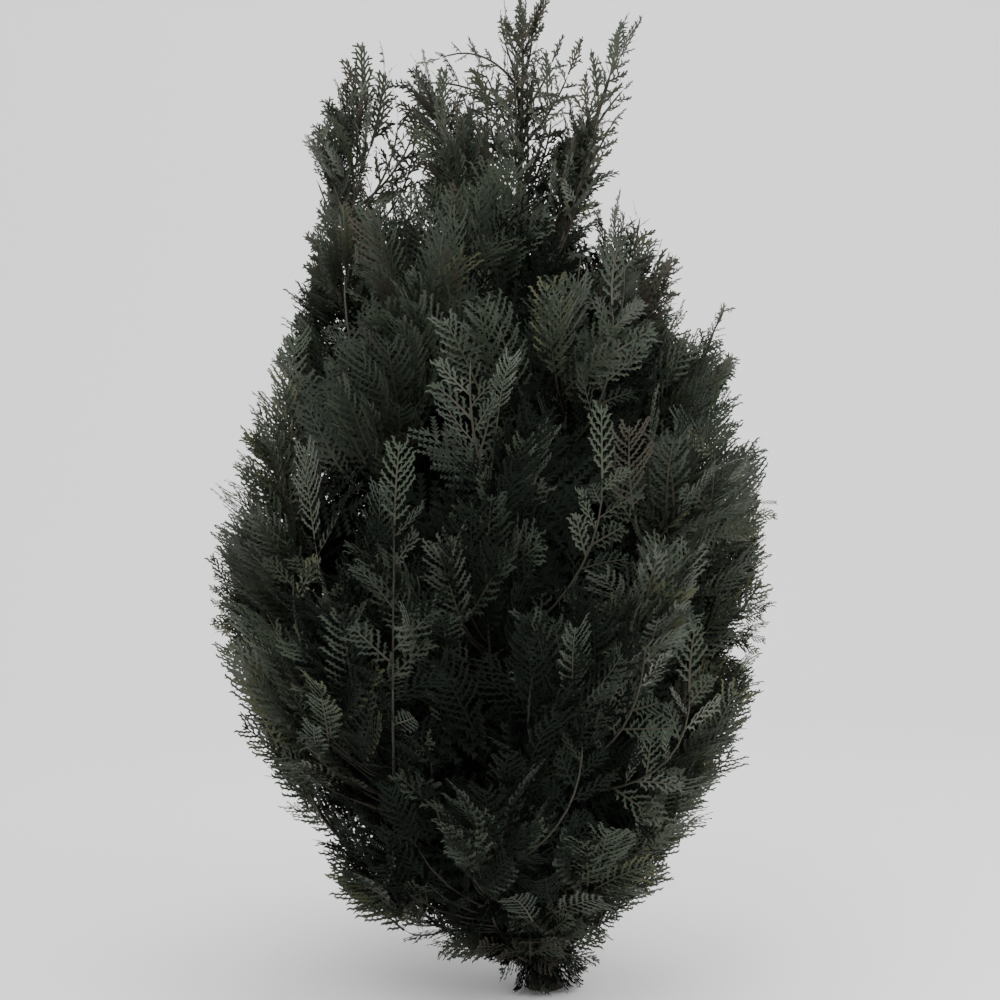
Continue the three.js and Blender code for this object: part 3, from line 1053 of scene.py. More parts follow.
SHOOTS = (
    Shoot("belly_foliage_4", (-0.215, -0.200, 0.330), (-0.214, -0.375, 0.450), (-0.210, -0.350, 0.740),
          0.095, pitch=0.022),
    Shoot("belly_foliage_4", (-0.300, -0.120, 0.400), (-0.370, -0.220, 0.500), (-0.360, -0.215, 0.660),
          0.085, pitch=0.022),
    Shoot("belly_foliage_5", (0.100, -0.200, 0.360), (0.135, -0.310, 0.450), (0.130, -0.310, 0.600),
          0.085, pitch=0.022),
    Shoot("belly_foliage_5", (0.140, -0.180, 0.300), (0.200, -0.270, 0.360), (0.195, -0.265, 0.500),
          0.080, pitch=0.022),
    # Shoots given Shade.DEEP here and on shoulder_foliage_4 are darkened where they stand forward in the
    # light: painted shade.
    Shoot("upper_foliage_4", (-0.200, -0.170, 0.790), (-0.288, -0.250, 0.900), (-0.286, -0.222, 1.080),
          0.080, Shade.DEEP, 0.022),
    Shoot("upper_foliage_4", (-0.110, -0.160, 0.840), (-0.160, -0.250, 0.920), (-0.156, -0.215, 1.060),
          0.075, Shade.DEEP, 0.022),
    Shoot("upper_foliage_5", (0.060, -0.150, 0.820), (0.100, -0.240, 0.900), (0.090, -0.190, 1.040),
          0.078, Shade.DEEP, 0.022),
    Shoot("upper_foliage_5", (0.060, -0.120, 0.900), (0.120, -0.160, 0.980), (0.110, -0.130, 1.110),
          0.072, pitch=0.022),
    Shoot("shoulder_foliage_4", (-0.080, -0.280, 0.780), (-0.114, -0.345, 0.860), (-0.108, -0.330, 0.960),
          0.075, Shade.DEEP, 0.020),
    Shoot("shoulder_foliage_4", (0.030, -0.220, 0.560), (0.075, -0.325, 0.650), (0.070, -0.320, 0.800),
          0.082, pitch=0.022),
    Shoot("shoulder_foliage_5", (0.180, -0.160, 0.620), (0.240, -0.220, 0.700), (0.235, -0.195, 0.860),
          0.082, pitch=0.022),
    Shoot("skirt_foliage_4", (0.020, -0.200, 0.220), (0.050, -0.290, 0.300), (0.045, -0.290, 0.440),
          0.080, pitch=0.022),
    Shoot("skirt_foliage_4", (-0.120, -0.170, 0.200), (-0.170, -0.250, 0.280), (-0.165, -0.245, 0.420),
          0.080, pitch=0.022),
    Shoot("belly_foliage_2", (-0.050, 0.200, 0.360), (-0.080, 0.355, 0.500), (-0.080, 0.355, 0.680),
          0.090, pitch=0.022),
    Shoot("shoulder_foliage_1", (0.080, 0.190, 0.640), (0.120, 0.290, 0.760), (0.110, 0.270, 0.920),
          0.085, pitch=0.022),
    Shoot("shoulder_foliage_2", (-0.210, 0.190, 0.620), (-0.280, 0.260, 0.740), (-0.270, 0.250, 0.900),
          0.085, pitch=0.022),
    Shoot("upper_foliage_2", (-0.090, 0.130, 0.860), (-0.120, 0.230, 0.960), (-0.115, 0.190, 1.100),
          0.078, pitch=0.022),
    Shoot("belly_foliage_3", (-0.420, 0.060, 0.500), (-0.470, 0.010, 0.540), (-0.482, -0.010, 0.610),
          0.062, Shade.YELLOW),
    Shoot("belly_foliage_3", (-0.425, 0.070, 0.540), (-0.480, 0.060, 0.580), (-0.488, 0.050, 0.640),
          0.055, Shade.YELLOW),
    Shoot("shoulder_foliage_5", (0.230, -0.095, 0.690), (0.290, -0.085, 0.715), (0.322, -0.080, 0.760),
          0.050),
    Shoot("belly_foliage_1", (0.270, 0.070, 0.540), (0.315, 0.030, 0.575), (0.334, 0.010, 0.635), 0.058),
    Shoot("belly_foliage_1", (0.262, 0.060, 0.490), (0.300, 0.000, 0.515), (0.318, -0.020, 0.570), 0.055),
    Shoot("leader_tip_foliage", (-0.034, 0.0, 1.395), (-0.034, -0.003, 1.430), (-0.038, -0.004, 1.470),
          0.028, pitch=0.010),
    Shoot("leader_tip_foliage", (-0.033, 0.003, 1.380), (-0.024, 0.006, 1.410), (-0.020, 0.006, 1.446),
          0.026, pitch=0.010),
    Shoot("leader_tip_foliage", (-0.034, -0.003, 1.370), (-0.050, -0.006, 1.400), (-0.062, -0.008, 1.442),
          0.028, pitch=0.010),
    Shoot("leader_right_foliage", (-0.029, 0.004, 1.180), (-0.022, -0.012, 1.250), (-0.028, -0.010, 1.330),
          0.055),
    Shoot("leader_right_foliage", (-0.030, 0.003, 1.260), (-0.024, 0.010, 1.330), (-0.028, 0.008, 1.400),
          0.046),
    Shoot("leader_right_foliage", (-0.030, 0.004, 1.330), (-0.004, 0.000, 1.370), (0.010, -0.010, 1.410),
          0.038),
    Shoot("leader_right_foliage", (-0.028, 0.000, 1.280), (0.010, -0.010, 1.330), (0.034, -0.020, 1.390),
          0.048),
    Shoot("leader_right_foliage", (-0.026, 0.004, 1.200), (0.004, 0.020, 1.260), (0.010, 0.030, 1.335),
          0.055),
    Shoot("leader_right_foliage", (-0.026, 0.002, 1.160), (0.030, -0.020, 1.230), (0.048, -0.030, 1.310),
          0.055),
    Shoot("leader_right_foliage", (-0.028, -0.002, 1.220), (0.004, -0.030, 1.280), (0.002, -0.036, 1.360),
          0.050),
    Shoot("leader_right_foliage", (-0.030, -0.003, 1.280), (-0.020, -0.016, 1.330), (-0.018, -0.016, 1.390),
          0.044, pitch=0.011),
    Shoot("leader_left_foliage", (-0.034, -0.003, 1.220), (-0.050, -0.014, 1.290), (-0.056, -0.010, 1.370),
          0.052),
    Shoot("leader_left_foliage", (-0.034, 0.003, 1.300), (-0.044, 0.010, 1.360), (-0.042, 0.008, 1.420),
          0.040, pitch=0.011),
    Shoot("leader_left_foliage", (-0.034, -0.003, 1.240), (-0.044, -0.020, 1.300), (-0.046, -0.018, 1.380),
          0.046, pitch=0.011),
    Shoot("leader_left_foliage", (-0.036, 0.002, 1.200), (-0.110, 0.010, 1.240), (-0.148, 0.016, 1.320),
          0.050),
    Shoot("leader_left_foliage", (-0.036, 0.000, 1.365), (-0.090, -0.010, 1.445), (-0.160, -0.020, 1.412),
          0.030),
    Shoot("leader_left_foliage", (-0.034, 0.002, 1.320), (-0.110, 0.010, 1.395), (-0.205, 0.020, 1.380),
          0.032),
    Shoot("leader_left_foliage", (-0.034, 0.000, 1.260), (-0.062, 0.010, 1.330), (-0.092, 0.014, 1.400),
          0.050),
    Shoot("leader_left_foliage", (-0.032, 0.000, 1.180), (-0.070, -0.020, 1.250), (-0.086, -0.030, 1.330),
          0.058),
    Shoot("leader_left_foliage", (-0.040, -0.002, 1.220), (-0.100, -0.010, 1.280), (-0.128, -0.010, 1.370),
          0.050),
    Shoot("right_shoot_foliage", (0.050, -0.020, 1.240), (0.072, -0.026, 1.340), (0.118, -0.030, 1.440),
          0.044, pitch=0.011),
    Shoot("right_shoot_foliage", (0.068, -0.024, 1.310), (0.095, -0.010, 1.345), (0.118, 0.000, 1.370),
          0.032),
    Shoot("right_shoot_foliage", (0.048, -0.020, 1.230), (0.075, -0.030, 1.270), (0.094, -0.040, 1.305),
          0.034),
    Shoot("right_shoot_foliage", (0.046, -0.018, 1.210), (0.052, -0.010, 1.280), (0.070, -0.010, 1.350),
          0.040),
    Shoot("left_plume_foliage", (-0.262, -0.010, 1.200), (-0.290, -0.020, 1.290), (-0.308, -0.020, 1.370),
          0.050),
    Shoot("left_plume_foliage", (-0.258, -0.010, 1.240), (-0.266, 0.010, 1.320), (-0.274, 0.020, 1.380),
          0.036),
    Shoot("left_plume_foliage", (-0.256, -0.012, 1.280), (-0.246, -0.010, 1.340), (-0.242, -0.014, 1.396),
          0.038),
    Shoot("left_plume_foliage", (-0.268, -0.012, 1.140), (-0.310, -0.020, 1.210), (-0.338, -0.030, 1.300),
          0.050),
    Shoot("left_plume_foliage", (-0.276, -0.012, 1.100), (-0.320, 0.010, 1.170), (-0.348, 0.020, 1.240),
          0.045),
    Shoot("left_plume_foliage", (-0.258, -0.012, 1.180), (-0.215, 0.000, 1.240), (-0.196, 0.010, 1.320),
          0.048),
    Shoot("left_plume_foliage", (-0.260, -0.012, 1.160), (-0.225, -0.020, 1.240), (-0.221, -0.024, 1.318),
          0.055),
    Shoot("left_plume_foliage", (-0.262, -0.010, 1.120), (-0.210, 0.000, 1.190), (-0.200, 0.004, 1.276),
          0.058),
    Shoot("left_plume_foliage", (-0.262, -0.012, 1.080), (-0.205, -0.020, 1.140), (-0.186, -0.024, 1.226),
          0.058),
    Shoot("left_plume_foliage", (-0.264, -0.010, 1.050), (-0.200, 0.010, 1.100), (-0.178, 0.014, 1.176),
          0.055),
    Shoot("outer_plume_foliage", (-0.330, 0.050, 0.960), (-0.350, 0.040, 1.040), (-0.352, 0.030, 1.110),
          0.045),
    Shoot("right_plume_foliage", (0.112, -0.024, 1.020), (0.106, -0.030, 1.090), (0.104, -0.030, 1.160),
          0.050),
    Shoot("right_plume_foliage", (0.118, -0.026, 1.050), (0.132, -0.020, 1.110), (0.142, -0.020, 1.180),
          0.044, pitch=0.011),
    Shoot("right_plume_foliage", (0.116, -0.024, 0.990), (0.150, -0.030, 1.030), (0.162, -0.040, 1.085),
          0.040, pitch=0.011),
    Shoot("right_plume_foliage", (0.114, -0.022, 0.970), (0.160, 0.000, 1.030), (0.192, 0.010, 1.100),
          0.038, pitch=0.010),
    Shoot("edge_plume_foliage", (0.206, 0.036, 0.870), (0.230, 0.020, 0.960), (0.276, 0.010, 1.045),
          0.034, pitch=0.010),
    Shoot("edge_plume_foliage", (0.206, 0.036, 0.880), (0.240, 0.040, 0.950), (0.262, 0.030, 1.015),
          0.034, pitch=0.010),
    Shoot("belly_foliage_1", (0.240, 0.040, 0.440), (0.275, 0.030, 0.480), (0.285, 0.020, 0.560), 0.072),
    Shoot("belly_foliage_1", (0.230, 0.060, 0.400), (0.262, 0.060, 0.460), (0.272, 0.070, 0.520), 0.072),
    Shoot("shoulder_foliage_3", (-0.360, 0.020, 0.680), (-0.385, 0.030, 0.740), (-0.400, 0.030, 0.830),
          0.075),
    Shoot("shoulder_foliage_3", (-0.330, 0.000, 0.690), (-0.345, 0.020, 0.760), (-0.352, 0.030, 0.850),
          0.078),
    Shoot("leader_right_foliage", (-0.010, 0.000, 1.060), (0.035, -0.030, 1.130), (0.050, -0.020, 1.215),
          0.062),
    Shoot("leader_right_foliage", (-0.010, 0.004, 1.080), (0.020, 0.020, 1.140), (0.024, 0.020, 1.230),
          0.062),
    Shoot("shoulder_foliage_3", (-0.300, 0.050, 0.620), (-0.330, 0.080, 0.700), (-0.335, 0.090, 0.800),
          0.085),
    Shoot("shoulder_foliage_3", (-0.370, 0.080, 0.640), (-0.395, 0.090, 0.710), (-0.402, 0.090, 0.780),
          0.075),
    Shoot("shoulder_foliage_3", (-0.310, -0.030, 0.600), (-0.335, -0.040, 0.680), (-0.340, -0.040, 0.770),
          0.085),
    Shoot("skirt_foliage_3", (-0.200, -0.040, 0.180), (-0.270, -0.050, 0.210), (-0.300, -0.050, 0.290),
          0.075),
    Shoot("skirt_foliage_3", (-0.180, -0.060, 0.150), (-0.240, -0.080, 0.180), (-0.262, -0.080, 0.250),
          0.075),
)


@dataclass(frozen=True)
class Tier:
    """A ring of boughs, or one bough, with the masses that they carry.

    Attributes:
        name: what its nodes are named for.
        count: how many boughs stand round the trunk.
        angle: angle of the first one.
        leaves: height at which they leave the trunk.
        end: height and reach at which they end.
        tip: height and reach at which the stems of their masses end.
        foliage: kind of foliage.
    """

    name: str
    count: int
    angle: float
    leaves: float
    end: tuple[float, float]
    tip: tuple[float, float]
    foliage: Foliage


TIERS = (
    Tier("skirt", 5, 54, 0.034, (0.080, 0.080), (0.285, 0.282), SKIRT),
    Tier("belly", 5, 18, 0.095, (0.230, 0.150), (0.560, 0.376), FULL),
    Tier("shoulder", 5, 54, 0.220, (0.450, 0.215), (0.890, 0.328), FULL),
    Tier("upper", 5, 18, 0.430, (0.720, 0.150), (1.110, 0.200), FULL),
    Tier("left_plume", 1, 184, 0.330, (1.000, 0.218), (1.300, 0.186), LEADER),
    Tier("outer_plume", 1, 170, 0.400, (0.820, 0.272), (1.000, 0.285), PLUME),
    Tier("right_plume", 1, 352, 0.640, (0.900, 0.180), (1.060, 0.190), PLUME),
    Tier("edge_plume", 1, 8, 0.560, (0.790, 0.262), (0.900, 0.285), PLUME),
    Tier("right_shoot", 1, 350, 1.040, (1.190, 0.112), (1.415, 0.176), THIN),
)


@dataclass(frozen=True)
class TrunkMass:
    """A mass whose stem comes straight from the trunk.

    Attributes:
        name: what its node is named for.
        angle: angle that it grows out at.
        leaves: height at which its stem leaves the trunk.
        tip: height and reach at which its stem ends.
        foliage: kind of foliage.
    """

    name: str
    angle: float
    leaves: float
    tip: tuple[float, float]
    foliage: Foliage


TRUNK_MASSES = (
    TrunkMass("foot_right", 306, 0.040, (0.110, 0.130), FOOT),
    TrunkMass("foot_left", 222, 0.044, (0.110, 0.120), FOOT),
    TrunkMass("heart_front", 262, 0.760, (1.100, 0.090), HEART),
    TrunkMass("heart_back", 80, 0.780, (1.110, 0.090), HEART),
    TrunkMass("leader_left", 196, 1.060, (1.300, 0.088), LEADER),
    TrunkMass("leader_right", 10, 1.040, (1.230, 0.092), LEADER),
)
LEADER_TIP_HEIGHT = 1.432


@dataclass(frozen=True)
class Boughs:
    """How thick boughs and stems are and how boughs bend, as in the part's source.

    Attributes:
        least_radius: radius at the foot of a bough of no length.
        slenderness: how much a bough's foot gains with its length.
        tip_radius: radius at a bough's tip, where its stem goes on.
        stem_tip_radius: radius at a stem's tip.
        belly: share of the way out at which a bough is drawn down.
        rise: share of its rise that it has there.
        least_twig_radius: radius at the foot of a twig of no length.
        twig_slenderness: how much a twig's foot gains with its length.
        twig_tip_radius: radius at a twig's tip.
        shoot_radii: radius of a long shoot at its foot and at its tip.
    """

    least_radius: float = 0.0026
    slenderness: float = 0.0085
    tip_radius: float = 0.0023
    stem_tip_radius: float = 0.001
    belly: float = 0.62
    rise: float = 0.3
    least_twig_radius: float = 0.0011
    twig_slenderness: float = 0.004
    twig_tip_radius: float = 0.0009
    shoot_radii: tuple[float, float] = (0.0024, 0.0012)

    def belly_point(self, start: np.ndarray, end: np.ndarray) -> np.ndarray:
        """What a bough is drawn towards.

        Args:
            start: where it leaves the trunk.
            end: where it ends.

        Returns:
            The point.
        """
        belly = start + (end - start) * self.belly
        belly[2] = lerp(start[2], end[2], self.rise)
        return belly

    def foot_radius(self, length: float) -> float:
        """The radius at the foot of a bough of some length."""
        return self.least_radius + self.slenderness * length

    def twig_foot_radius(self, length: float) -> float:
        """The radius at the foot of a twig of some length."""
        return self.least_twig_radius + self.twig_slenderness * length

    def stem_radius(self, share: float) -> float:
        """A stem's radius at a share of its length."""
        return lerp(self.tip_radius, self.stem_tip_radius, share)

    def shoot_radius(self, share: float) -> float:
        """A long shoot's radius at a share of its length."""
        return lerp(*self.shoot_radii, share)


BOUGHS = Boughs()


class Shader:
    """A material's node tree, with one method for every node."""

    def __init__(self, name: str) -> None:
        """Starts an empty node material with its output.

        Args:
            name: name of the material.
        """
        self.material = bpy.data.materials.new(name)
        self.material.use_nodes = True
        self.tree = self.material.node_tree
        self.tree.nodes.clear()
        self.output = self.tree.nodes.new("ShaderNodeOutputMaterial")

    def node(self, kind: str, settings: dict | None = None, **sockets: object) -> bpy.types.Node:
        """Adds a node.

        Args:
            kind: Blender's name of the node type, without its ShaderNode.
            settings: properties of the node, set before its sockets. stops is a ramp's list of
                positions and colours.
            sockets: values or links, by socket name with _ for spaces, or by number as in_0.

        Returns:
            The node.
        """
        made = self.tree.nodes.new("ShaderNode" + kind)
        for key, value in (settings or {}).items():
            if key == "stops":
                self.set_stops(made.color_ramp, value)
            else:
                setattr(made, key, value)
        for key, value in sockets.items():
            self.feed(self.socket_of(made, key), value)
        return made

    @staticmethod
    def set_stops(ramp: bpy.types.ColorRamp, stops: Sequence[tuple[float, tuple]]) -> None:
        """Gives a ramp its stops.

        Args:
            ramp: the ramp.
            stops: their positions and colours.
        """
        while len(ramp.elements) < len(stops):
            ramp.elements.new(1.0)
        for element, (position, colour) in zip(ramp.elements, stops):
            element.position = position
            element.color = (*colour, 1.0)

    @staticmethod
    def socket_of(made: bpy.types.Node, key: str) -> bpy.types.NodeSocket:
        """An input of a node.

        Args:
            made: the node.
            key: the input's name with _ for spaces, or its number as in_0.

        Returns:
            The input.
        """
        if key.startswith("in_"):
            return made.inputs[int(key[3:])]
        return made.inputs[key.replace("_", " ")]

    def feed(self, socket: bpy.types.NodeSocket, value: object) -> None:
        """Sets a socket to a value, or links it.

        Args:
            socket: the input.
            value: a number, vector or colour, or what is linked to it.
        """
        if isinstance(value, Wire):
            value = value.socket
        if isinstance(value, bpy.types.NodeSocket):
            self.tree.links.new(value, socket)
        else:
            socket.default_value = value

    def wire(self, made: bpy.types.Node, output: str | int = 0) -> "Wire":
        """One output of a node, ready for sums."""
        return Wire(self, made.outputs[output])

    def place(self) -> "Wire":
        """The place of the shaded point on the object, in metres."""
        return self.wire(self.node("TexCoord"), "Object")

    def noise(self, where: "Wire", scale: float, detail: float = 3.0, rough: float = 0.55) -> "Wire":
        """A noise value from 0 to 1.

        Args:
            where: the point that it is read at.
            scale: how many blotches there are to a metre.
            detail: how many finer layers it has.
            rough: how strong they are.

        Returns:
            The value.
        """
        made = self.node("TexNoise", None, Vector=where, Scale=scale, Detail=detail, Roughness=rough)
        return self.wire(made, 0)

    def stretched(self, where: "Wire", scale: tuple[float, float, float]) -> "Wire":
        """A place scaled by a factor for each axis."""
        made = self.node("VectorMath", {"operation": "MULTIPLY"}, in_0=where, in_1=scale)
        return self.wire(made)

    def mixed(self, share: "Wire", low: "tuple | Wire", high: "tuple | Wire") -> "Wire":
        """A colour a share of the way from low to high.

        Args:
            share: the share.
            low: the colour where it is 0.
            high: the colour where it is 1.

        Returns:
            The colour.
        """
        made = self.node("Mix", {"data_type": "RGBA"}, in_0=share)
        for number, colour in ((6, low), (7, high)):
            value = (*colour, 1.0) if isinstance(colour, tuple) else colour
            self.feed(made.inputs[number], value)
        return self.wire(made, 2)

    def bump(self, height: "Wire", strength: float, distance: float) -> "Wire":
        """A normal bent by a height, with the distance in metres."""
        made = self.node("Bump", None, Strength=strength, Distance=distance, Height=height)
        return self.wire(made)

    def surface(self, **sockets: object) -> bpy.types.Material:
        """Ends the tree in a Principled shader.

        Args:
            **sockets: values or links of its sockets, by name with _ for spaces.

        Returns:
            The finished material.
        """
        made = self.node("BsdfPrincipled", None, **sockets)
        self.tree.links.new(made.outputs[0], self.output.inputs["Surface"])
        return self.material


class Wire:
    """A socket whose values can be used in sums."""

    def __init__(self, shader: Shader, socket: bpy.types.NodeSocket) -> None:
        """Wraps an output socket of a shader's node."""
        self.shader = shader
        self.socket = socket

    def math(self, operation: str, first: object, second: object) -> "Wire":
        """A Math node on two values."""
        made = self.shader.node("Math", {"operation": operation}, in_0=first, in_1=second)
        return self.shader.wire(made)

    def __add__(self, other: object) -> "Wire":
        """The sum."""
        return self.math("ADD", self, other)

    __radd__ = __add__

    def __mul__(self, other: object) -> "Wire":
        """The product."""
        return self.math("MULTIPLY", self, other)

    __rmul__ = __mul__

    def __sub__(self, other: object) -> "Wire":
        """This less the other."""
        return self.math("SUBTRACT", self, other)

    def __rsub__(self, other: object) -> "Wire":
        """The other less this."""
        return self.math("SUBTRACT", other, self)

    def step(self, low: float, high: float) -> "Wire":
        """0 below low, 1 above high and smooth between them."""
        made = self.shader.node(
            "MapRange", {"interpolation_type": "SMOOTHSTEP"}, Value=self, From_Min=low, From_Max=high
        )
        return self.shader.wire(made)


@dataclass(frozen=True)
class Bark:
    """Thin, fibrous bark that peels a little in long strips, greyer outside and redder in its furrows.

    Attributes:
        name: name of the material.
        ridge: colour of the strips.
        furrow: colour of the furrows.
        strip: how many strips there are to a metre.
        grime: colour of the darker blotches.
    """

    name: str
    ridge: Colour
    furrow: Colour
    strip: float = 900.0
    grime: Colour = (0.035, 0.033, 0.024)

    def made(self) -> bpy.types.Material:
        """Builds the node tree.

        Returns:
            The material.
        """
        shader = Shader(self.name)
        where = shader.place()
        fibres = shader.noise(shader.stretched(where, (1.0, 1.0, 0.07)), self.strip, 4.0, 0.65)
        blotches = shader.noise(where, 55.0, 3.0)
        ridges = fibres.step(0.40, 0.62)
        colour = shader.mixed(ridges, self.furrow, self.ridge)
        colour = shader.mixed(blotches.step(0.55, 0.75) * 0.6, colour, self.grime)
        height = fibres + 0.35 * blotches
        return shader.surface(
            Base_Color=colour,
            Roughness=0.95 - 0.2 * ridges,
            Normal=shader.bump(height, 0.7, 0.0012),
            Specular_IOR_Level=0.25,
        )


@dataclass(frozen=True)
class TwigSkin:
    """The skin of a young twig, one plain colour with fine relief.

    Attributes:
        name: name of the material.
        colour: its colour.
        roughness: how matt it is.
    """

    name: str
    colour: Colour
    roughness: float = 0.7

    def made(self) -> bpy.types.Material:
        """Builds the node tree.

        Returns:
            The material.
        """
        shader = Shader(self.name)
        grain = shader.noise(shader.place(), 1600.0, 2.0)
        return shader.surface(
            Base_Color=(*self.colour, 1.0),
            Roughness=self.roughness,
            Normal=shader.bump(grain, 0.5, 0.0004),
            Specular_IOR_Level=0.3,
        )


@dataclass(frozen=True)
class ScaleLeaf:
    """Overlapping scale leaves on flat shoots, one plain colour with a waxy sheen and fine relief.

    Attributes:
        name: name of the material.
        colour: its colour.
        roughness: how matt it is.
        gloss: how strong its sheen is.
    """

    name: str
    colour: Colour
    roughness: float = 0.62
    gloss: float = 0.32

    def made(self) -> bpy.types.Material:
        """Builds the node tree.

        Returns:
            The material.
        """
        shader = Shader(self.name)
        scales = shader.noise(shader.place(), 1100.0, 1.0)
        return shader.surface(
            Base_Color=(*self.colour, 1.0),
            Roughness=self.roughness,
            Normal=shader.bump(scales, 0.45, 0.0006),
            Specular_IOR_Level=self.gloss,
        )


class Wardrobe:
    """Every finish of the tree, made once."""

    LEAVES = {
        # The first leaf is near black and barely glossy: painted shade.
        Shade.DARK: ScaleLeaf("leaf_painted_dark", (0.006, 0.009, 0.006), 0.9, 0.12),
        Shade.DEEP: ScaleLeaf("leaf_deep", (0.021, 0.030, 0.020)),
        Shade.GREEN: ScaleLeaf("leaf_green", (0.034, 0.046, 0.028)),
        Shade.GREY: ScaleLeaf("leaf_grey", (0.052, 0.061, 0.046)),
        Shade.PALE: ScaleLeaf("leaf_pale", (0.084, 0.094, 0.074)),
        Shade.YELLOW: ScaleLeaf("leaf_yellow", (0.066, 0.070, 0.036)),
        Shade.BROWN: ScaleLeaf("leaf_brown", (0.046, 0.041, 0.030), 0.8),
        Shade.RIB: ScaleLeaf("leaf_rib", (0.042, 0.040, 0.026), 0.7),
    }
    TWIGS = (
        TwigSkin("twig_brown", (0.050, 0.043, 0.032)),
        TwigSkin("twig_green", (0.034, 0.034, 0.023)),
        # The dull skin is painted shade for twigs in the darkened oval.
        TwigSkin("twig_shade_painted", (0.020, 0.018, 0.013)),
    )

    def __init__(self) -> None:
        """Makes the materials."""
        self.leaves = [self.LEAVES[shade].made() for shade in Shade]
        self.twigs = [skin.made() for skin in self.TWIGS]
        self.bark = Bark("bark", (0.095, 0.084, 0.068), (0.034, 0.026, 0.020)).made()


def dress(piece: bpy.types.Object, slot: str, *nodes: str) -> bpy.types.Object:
    """Hangs a piece on the frame.

    Args:
        piece: the piece.
        slot: the record's material slot; not used.
        nodes: the nodes of the frame that it stands for.

    Returns:
        The piece.
    """
    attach(piece, BODY)
    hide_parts(*nodes)
    log.info("%s: %d triangles", piece.name, len(piece.data.polygons))
    return piece


@dataclass
class Limb:
    """A trunk or a bough with the relief of its bark.

    Attributes:
        node: the node of the frame that it stands for.
        line: what it follows.
        radius: its radius at a share of the length.
        sides: how many sides its mesh has.
        ring_pitch: distance between the rings of its mesh.
        relief: depth of the bark's furrows against the radius.
        seed: what its bark is told apart by.
    """

    node: str
    line: Line
    radius: Callable[[float], float]
    sides: int
    ring_pitch: float
    relief: float
    seed: float

    def rough_radius(self, share: float, turns: np.ndarray) -> np.ndarray:
        """The radius all round, with strips, furrows and small knots.

        Args:
            share: the share of the length.
            turns: the angles round the limb.

        Returns:
            The radius at each angle.
        """
        along = share * self.line.length
        strips = np.sin(5 * turns + 9 * math.sin(11 * along + self.seed) + self.seed)
        fibres = np.sin(11 * turns - 60 * along + 3 * np.sin(2 * turns + self.seed))
        knots = math.sin(95 * along + self.seed) * math.sin(37 * along + 2 * self.seed)
        return self.radius(share) * (1 + self.relief * (0.6 * strips + 0.4 * fibres + 0.5 * knots))

    def shape(self) -> tuple[np.ndarray, np.ndarray]:
        """Shapes the limb, closed by a flat cut at its foot and a cap at its tip.

        Returns:
            Its vertices and triangles.
        """
        rings = max(6, round(self.line.length / self.ring_pitch))
        shares = np.linspace(0, 1, rings + 1)
        turns = np.arange(self.sides) * 2 * math.pi / self.sides
        across = np.array((1.0, 0.0, 0.0))
        corners = []
        for number, share in enumerate(shares):
            heading = UP if number == 0 and self.node == "trunk" else self.line.heading(float(share))
            across = unit(across - heading * float(across @ heading))
            beside = np.cross(heading, across)
            ring = np.cos(turns)[:, None] * across + np.sin(turns)[:, None] * beside
            radii = self.rough_radius(float(share), turns)
            corners.append(self.line.at(float(share)) + ring * radii[:, None])
        corners += [self.line.at(0.0)[None, :], self.line.at(1.0)[None, :]]
        faces = []
        n = self.sides
        for ring in range(rings):
            low = ring * n + np.arange(n)
            high = ring * n + (np.arange(n) + 1) % n
            faces += [np.column_stack((low, high, high + n)), np.column_stack((low, high + n, low + n))]
        foot, tip = (rings + 1) * n, (rings + 1) * n + 1
        around = np.arange(n)
        after = (around + 1) % n
        faces.append(np.column_stack((after, around, np.full(n, foot))))
        faces.append(np.column_stack((rings * n + around, rings * n + after, np.full(n, tip))))
        return np.concatenate(corners), np.concatenate(faces)

    def build(self, wardrobe: Wardrobe) -> bpy.types.Object:
        """Builds the limb's piece and hangs it on the frame.

        Args:
            wardrobe: the finishes.

        Returns:
            The piece.
        """
        heap = Heap()
        corners, faces = self.shape()
        heap.add(corners, faces, np.zeros(len(faces), dtype=int))
        return dress(heap.build(f"{self.node}_bark", [wardrobe.bark]), "bark", self.node)


